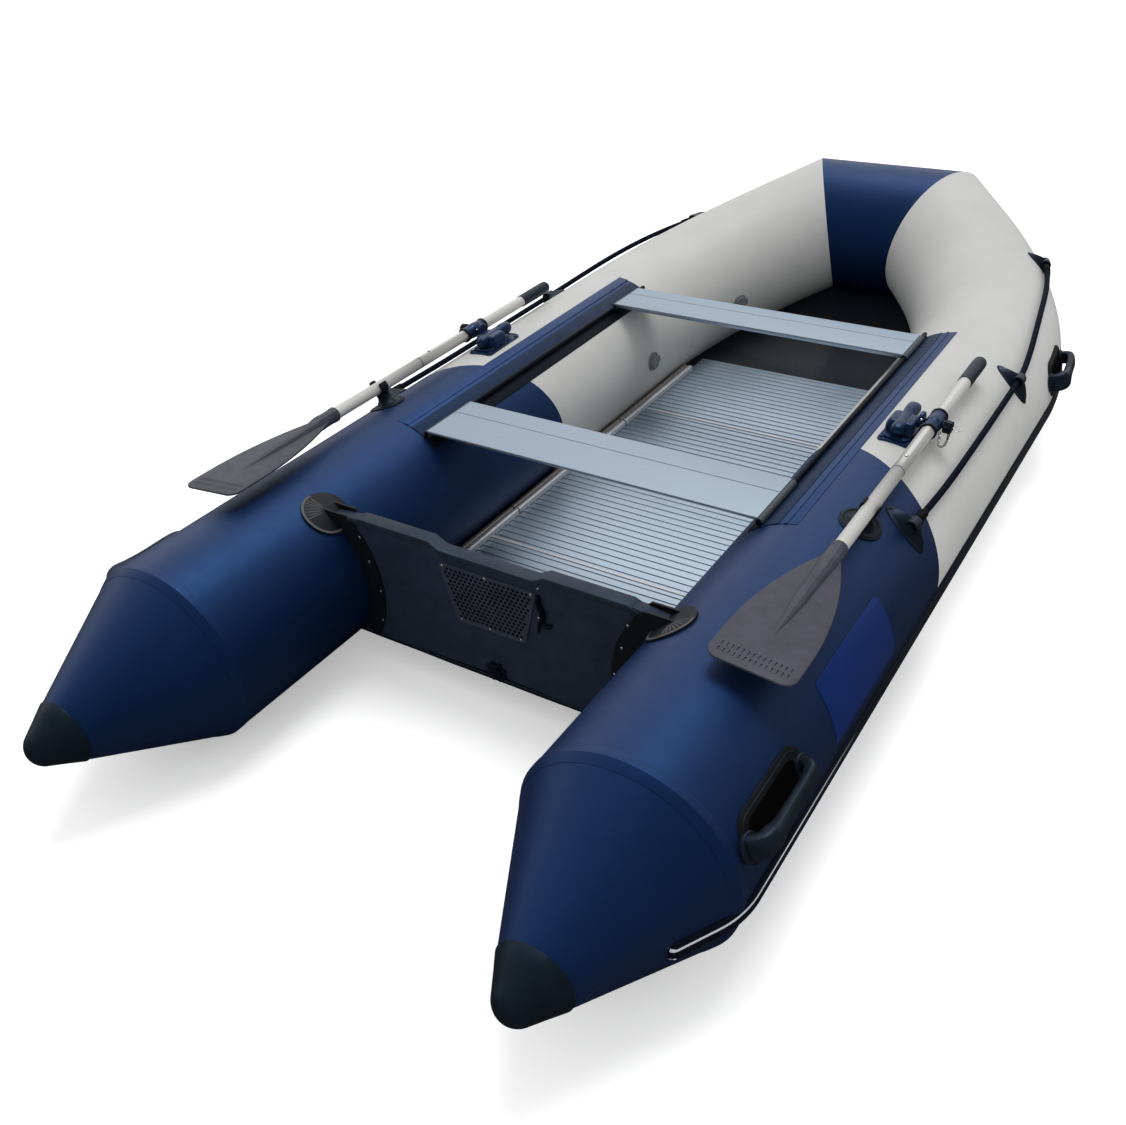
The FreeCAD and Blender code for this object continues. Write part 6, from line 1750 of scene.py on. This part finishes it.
# Moulded rosette round the drain's outlet
def buildDrain():
    bm = bmesh.new()
    low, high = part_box("drain_valve")
    centre = onTransom((low.x + high.x) / 2, drain["height"])
    for step in range(drain["lobes"]):
        turn = rad(step * 360 / drain["lobes"] + drain["turn"])
        away = moved(drain["reach"] * math.cos(turn), drain["reach"] * math.sin(turn), 0)
        pour(bm, turned(drain["lobe"], 18), centre @ away)
    piece("drainRosette", bm, "hull", blackPlastic, (), 34)


buildTrim()
buildMotorPads()
buildKeeper()
sidePieces(("holderDisc", holderFace, "hull", discRubber, "black_rubber", "", 34))
buildDrain()
print("transom ready")


# Seat rails

railLow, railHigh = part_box("seat_rail_starboard")
rails = {
    "start": railLow.y,
    "end": railHigh.y,
    # from and to angle, thickness, rim and how many strips it is bent in
    "band": (98.5, 113.0, 0.0012, 0.0006, 8),
    "ridge": (104.2, 106.6, 0.0030, 0.0012, 3),
    "flap": (109.4, 121.2, 0.0027, 0.0010, 8),
    "skirt": (120.8, 131.0, 0.0014, 0.0005, 5),
    "neck": (121.4, 0.003, 0.0125),
    "bead": (0.006, 0.011),
}


# Long flat strip round part of the tube, along a straight stretch
def strip(name):
    fromAngle, toAngle, thick, rim, cuts = rails[name]
    start, end = rails["start"], rails["end"]
    wide = rad(toAngle - fromAngle) * tubeRadius
    bm = sliced(block(wide, end - start, thick, 0.0, rim, 4), wide / cuts, (0,))
    return wrapped(bm, ((start + end) / 2 - bendStart, (fromAngle + toAngle) / 2))


def railBand():
    bm = strip("band")
    pour(bm, strip("ridge"))
    return unwrapTube(bm)


def railFlap():
    return unwrapTube(strip("flap"))


def railBead():
    bm = bmesh.new()
    angle, wide, high = rails["neck"]
    long = rails["end"] - rails["start"]
    foot = onSide(angle, rails["start"])
    pour(bm, block(wide, long, high), foot @ moved(0, long / 2, 0))
    pour(bm, strip("skirt"))
    radius, lift = rails["bead"]
    pour(bm, bar(radius, long, 0.0012, 28), foot @ moved(0, 0, lift) @ quarter["alongY"])
    return bm


sidePieces(
    ("railBand", railBand, "hull", bandFabric, "navy_fabric", "seat_rail_", 34),
    ("railFlap", railFlap, "hull", railRubber, "black_rubber", "", 34),
    ("railBead", railBead, "hull", blackRubber, "black_rubber", "", 34),
)
print("seat rails ready")


# Rubbing strake

strake = {"width": 0.040, "height": 0.012, "under": -0.002, "angle": -8.0, "tail": 0.123, "ease": 0.050}


# Ribbed section, as (round the tube, lift) pairs, closed under the tube's skin
def strakeSection():
    half, top = strake["width"] / 2, strake["height"]
    edge = [(1, 0.0), (1, 0.0022), (0.86, 0.0042), (0.78, 0.0046), (0.70, 0.0072), (0.56, 0.0088)]
    edge += [(0.50, 0.0080), (0.44, 0.0080), (0.36, top * 0.92), (0.20, top)]
    line = [(-half * share, lift) for share, lift in edge]
    line += [(half * share, lift) for share, lift in reversed(edge)]
    return line + [(half, strake["under"]), (-half, strake["under"])]


# The section's edges about an angle on a tube; pointOf carries an angle and a reach to a point
def strakeLoop(bm, angle, pointOf):
    verts = []
    for across, lift in strakeSection():
        verts.append(bm.verts.new(pointOf(angle + across / tubeRadius, tubeRadius + lift)))
    return [bm.edges.new(pair) for pair in zip(verts, verts[1:] + verts[:1])]


# The section where the strake's straight run meets its eased corner
def sideLoop(bm):
    y = coneHigh.y + strake["ease"]
    return strakeLoop(bm, rad(strake["angle"]), lambda turn, reach: (
        tubeOffset + reach * math.cos(turn), y, tubeRadius + reach * math.sin(turn)))


def tailMove(slope):
    outward = Vector((math.cos(rad(strake["angle"])), 0, math.sin(rad(strake["angle"]))))
    return Vector((0, -math.cos(slope), 0)) - outward * math.sin(slope)


def strakeUv(point):
    length, angle, _ = tubePlace(starboard(point))
    turn = rad(strake["angle"])
    if length < 0:
        return length, (point.z - tubeRadius) * math.cos(turn) - (abs(point.x) - tubeOffset) * math.sin(turn)
    return length, (angle - (bendTilt if length > 0 else 0) - turn) * tubeRadius


# From the eased corner forwards, round the bend to the mitre
def strakeRun():
    bm = bmesh.new()
    front = extend(bm, sideLoop(bm), Vector((0, bendStart - coneHigh.y - strake["ease"], 0)), 60)
    front = turnBow(bm, front, 0.02)
    extend(bm, front, bendEnd * (bend["straight"] + tubeRadius), 12)
    cutAway(bm, corner, mitreNormal)
    closeEnds(bm)
    return bm


# Round the corner on to the cone, to a tapered tip
def strakeTail():
    bm = bmesh.new()
    back = sideLoop(bm)
    slope = math.atan(coneSlope)
    steps = 14
    for step in range(steps):
        back = extend(bm, back, tailMove(slope * (step + 0.5) / steps) * (2 * strake["ease"] / steps), 1)
    back = extend(bm, back, tailMove(slope) * (strake["tail"] - strake["ease"]), 6)
    tips = extend(bm, back, tailMove(slope) * strake["tail"] * 0.12, 2)
    ends = list({vert for edge in tips for vert in edge.verts})
    middle = sum((vert.co for vert in ends), Vector()) / len(ends)
    bmesh.ops.scale(bm, vec=(0.45, 0.45, 0.45), space=Matrix.Translation(-middle), verts=ends)
    closeEnds(bm)
    return bm


# Straight run across the bow, at the angle that the side runs reach there
def strakeBow():
    turn = rad(strake["angle"] + bend["tilt"])
    out = tiltTurn @ Vector((math.cos(bendTurn), math.sin(bendTurn), 0))
    out = out * math.cos(turn) + (tiltTurn @ Vector((0, 0, 1))) * math.sin(turn)
    out = out - mitreNormal * (2 * out.dot(mitreNormal))
    bm = bmesh.new()
    half = corner.x + tubeRadius
    loop = strakeLoop(bm, math.atan2(out.z, out.y), lambda turn, reach: (
        -half, corner.y + reach * math.cos(turn), corner.z + reach * math.sin(turn)))
    extend(bm, loop, Vector((2 * half, 0, 0)), 24)
    return cutAtMitres(bm)


def buildStrake():
    bm = strakeRun()
    pour(bm, strakeTail())
    bothSides(bm)
    pour(bm, strakeBow())
    piece("rubStrake", clothLayer(bm, strakeUv), "hull", strakeRubber, ["rub_strake"], 24)
    print("strake ready")


buildStrake()


# Panels on the tubes

panels = {"from": -0.900, "to": -0.594, "angles": (4.2, 41.0), "thick": 0.0008, "corner": 0.014}


def sidePanel():
    low, high = panels["angles"]
    wide = rad(high - low) * tubeRadius
    bm = block(wide, panels["to"] - panels["from"], panels["thick"], panels["corner"], 0.0003, 6)
    spot = ((panels["from"] + panels["to"]) / 2 - bendStart, (low + high) / 2)
    return unwrapTube(wrapped(sliced(bm, 0.009, (0,)), spot))


sidePieces(("sidePanel", sidePanel, "hull", panelFabric, "navy_fabric", "", 24))
print("side panels ready")


# Bottom skin, bow skin and keel

skins = {
    "wrinkle": 0.0014,
    "stretch": (9, 4),
    "cell": 0.035,
    # node, title and where its ripples are read
    "sheets": [("bottom_skin", "bottomSkin", 0.4), ("bow_skin", "bowSkin", 1.9)],
}


# Merged copy of a packed soft node, cut finely enough to sculpt
def softCopy(name):
    bm = packedCopy(name)
    bmesh.ops.dissolve_limit(bm, angle_limit=rad(1), verts=bm.verts, edges=bm.edges)
    sliced(bm, skins["cell"])
    bmesh.ops.triangulate(bm, faces=[face for face in bm.faces if len(face.verts) > 4])
    return bm


# Shallow ripples of stretched fabric, moved up and down so that both faces keep together
def rippled(bm, seed):
    wide, long = skins["stretch"]
    for vert in bm.verts:
        vert.co.z += skins["wrinkle"] * noise.noise(Vector((vert.co.x * wide, vert.co.y * long, seed)))
    return bm


def flatPoint(point):
    return point.x, point.y


def buildSkins():
    for name, title, seed in skins["sheets"]:
        bm = clothLayer(rippled(softCopy(name), seed), flatPoint)
        piece(title, bm, "hull", darkFabric, [name], 50)
    low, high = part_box("keel_tube")
    radius = (high.x - low.x) / 2
    axisZ = (low.z + high.z) / 2
    points, sizes = [], []
    count = 16
    for step in range(count + 1):
        y = low.y + (high.y - low.y) * step / count
        end = min(step, count - step) / 1.4
        full = radius * min(1.0, math.sqrt(max(0.0, end * (2 - end)))) if end < 1 else radius
        points.append((0, y, axisZ))
        sizes.append((max(full, 0.004), max(full, 0.004) * 0.99))
    bm = limb(points, sizes, (1, 0, 0), 48, 150)
    for vert in bm.verts:
        ripple = noise.noise(Vector((vert.co.x * 20, vert.co.y * 7, 3.1)))
        vert.co += Vector((vert.co.x, 0, vert.co.z - axisZ)) * 0.02 * ripple
    clothLayer(bm, flatPoint)
    piece("keelTube", bm, "hull", darkFabric, ["keel_tube"], 50)
    print("skins ready")


buildSkins()


# Benches

benches = {
    "end": 0.4290,          # from the middle to where the clasps start
    "overlap": 0.004,
    "edge": 0.0045,
    "rim": 0.0014,
    "undercut": 0.020,
    "groove": 0.0022,
    "grooveDeep": 0.0010,
    "grooveShare": 0.64,
    # node, title and body
    "pair": [("bench_aft", "benchAft", "aft_bench"), ("bench_front", "benchFront", "front_bench")],
}


# Extruded plank with a thin rolled edge, an undercut side and one narrow groove
def benchPlank(low, high):
    wide, thick = high.y - low.y, high.z - low.z
    bm = bmesh.new()
    bmesh.ops.create_cube(bm, size=1.0)
    bmesh.ops.scale(bm, vec=((benches["end"] + benches["overlap"]) * 2, wide, thick), verts=bm.verts)
    middle = Vector((0, (low.y + high.y) / 2, (low.z + high.z) / 2))
    bmesh.ops.translate(bm, vec=middle, verts=bm.verts)
    scored(bm, (0, 0, high.z - benches["edge"]), (0, 0, 1))
    for vert in bm.verts:
        if vert.co.z < low.z + 0.001:
            vert.co.y += benches["undercut"] * (1 if vert.co.y < middle.y else -1)
    top = [edge for edge in bm.edges if min(vert.co.z for vert in edge.verts) > high.z - 0.0001]
    soften(bm, top, benches["rim"], 3)
    grooveY = low.y + wide * benches["grooveShare"]
    for shift in (-0.5, 0.5):
        scored(bm, (0, grooveY + shift * benches["groove"], 0), (0, 1, 0))
    bm.normal_update()
    upper = [face for face in bm.faces if face.normal.z > 0.9]
    floors = [face for face in upper if abs(face.calc_center_median().y - grooveY) < 0.001]
    for face in bmesh.ops.extrude_discrete_faces(bm, faces=floors)["faces"]:
        bmesh.ops.translate(bm, vec=(0, 0, -benches["grooveDeep"]), verts=face.verts)
    return bm


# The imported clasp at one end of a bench, cut from its plank
def benchClasp(node, sign):
    bm = packedCopy(node)
    cutAway(bm, Vector((sign * benches["end"], 0, 0)), Vector((-sign, 0, 0)))
    closeEnds(bm)
    return bm


for node, title, body in benches["pair"]:
    clasps = bmesh.new()
    for sign in (-1, 1):
        pour(clasps, benchClasp(node, sign))
    piece(title + "Plank", benchPlank(*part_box(node)), body, benchAluminium, [node], 30)
    piece(title + "Clasps", clasps, body, claspAluminium, (), 40)
print("benches ready")


# What the CAD nodes are finished in

# finish and edge softening of each node, by the start of its name
nodeFinish = {
    "bottom_skin": (darkFabric, 0),
    "bow_skin": (darkFabric, 0),
    "keel_tube": (darkFabric, 0),
    "seat_rail": (bandFabric, 0),
    "transom_board": (boardPaint, 0.003),
    "transom_trim": (trimPlastic, 0),
    "transom_holder": (holderRubber, 0.0016),
    "motor_pads": (padPlastic, 0),
    "drain": (blackPlastic, 0.0006),
    "valve": (valvePlastic, 0.0007),
    "floor_panel": (floorAluminium, 0.0005),
    "floor_joiners": (stringerAluminium, 0.0006),
    "side_stringer": (stringerAluminium, 0.0007),
    "bench": (benchAluminium, 0.0012),
    "rowlock": (rowlockPlastic, 0),
    "oar_collar": (blackPlastic, 0),
    "oar_grip": (blackPlastic, 0),
    "oar_shaft": (oarAluminium, 0),
    "oar_blade": (bladePlastic, 0),
    "oar_button": (polishedSteel, 0),
    "oar_clip": (clipRubber, 0),
    "lifeline_eyes": (eyeRubber, 0),
    "lifeline": (ropeCord, 0),
    "carry_handles": (gripRubber, 0),
    "tow_ring_patch": (blackRubber, 0.001),
    "tow_ring": (polishedSteel, 0),
    "rub_strake": (strakeRubber, 0),
    "tube_": (navyFabric, 0),
    "stern_cone": (navyFabric, 0),
    "cone_cap": (capRubber, 0),
}


# Modifier group that joins a node's loose triangles and shades it smooth up to an angle
def smoothNodes(angle):
    group = bpy.data.node_groups.new("smoothNode", "GeometryNodeTree")
    group.interface.new_socket("Geometry", in_out="INPUT", socket_type="NodeSocketGeometry")
    group.interface.new_socket("Geometry", in_out="OUTPUT", socket_type="NodeSocketGeometry")
    nodes, links = group.nodes, group.links
    start = nodes.new("NodeGroupInput")
    end = nodes.new("NodeGroupOutput")
    merge = nodes.new("GeometryNodeMergeByDistance")
    merge.inputs["Distance"].default_value = 1e-6
    faces = nodes.new("GeometryNodeSetShadeSmooth")
    edges = nodes.new("GeometryNodeSetShadeSmooth")
    edges.domain = "EDGE"
    edges.inputs["Shade Smooth"].default_value = False
    fold = nodes.new("GeometryNodeInputMeshEdgeAngle")
    steep = nodes.new("FunctionNodeCompare")
    steep.data_type = "FLOAT"
    steep.operation = "GREATER_THAN"
    steep.inputs[1].default_value = rad(angle)
    links.new(start.outputs[0], merge.inputs["Geometry"])
    links.new(merge.outputs["Geometry"], faces.inputs["Geometry"])
    links.new(faces.outputs["Geometry"], edges.inputs["Geometry"])
    links.new(fold.outputs["Unsigned Angle"], steep.inputs[0])
    links.new(steep.outputs["Result"], edges.inputs["Selection"])
    links.new(edges.outputs["Geometry"], end.inputs[0])
    return group


def finishNodes():
    smooth = smoothNodes(32)
    for name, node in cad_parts.items():
        material, width = nodeFinish[max((key for key in nodeFinish if name.startswith(key)), key=len)]
        node.data.materials.clear()
        node.data.materials.append(material)
        if node.hide_render:
            continue
        modifier = node.modifiers.new("smooth", "NODES")
        modifier.node_group = smooth
        if width:
            rim = node.modifiers.new("rims", "BEVEL")
            rim.width = width
            rim.segments = 2
            rim.limit_method = "ANGLE"
            rim.angle_limit = rad(35)
            rim.harden_normals = True
    print("nodes finished")


finishNodes()
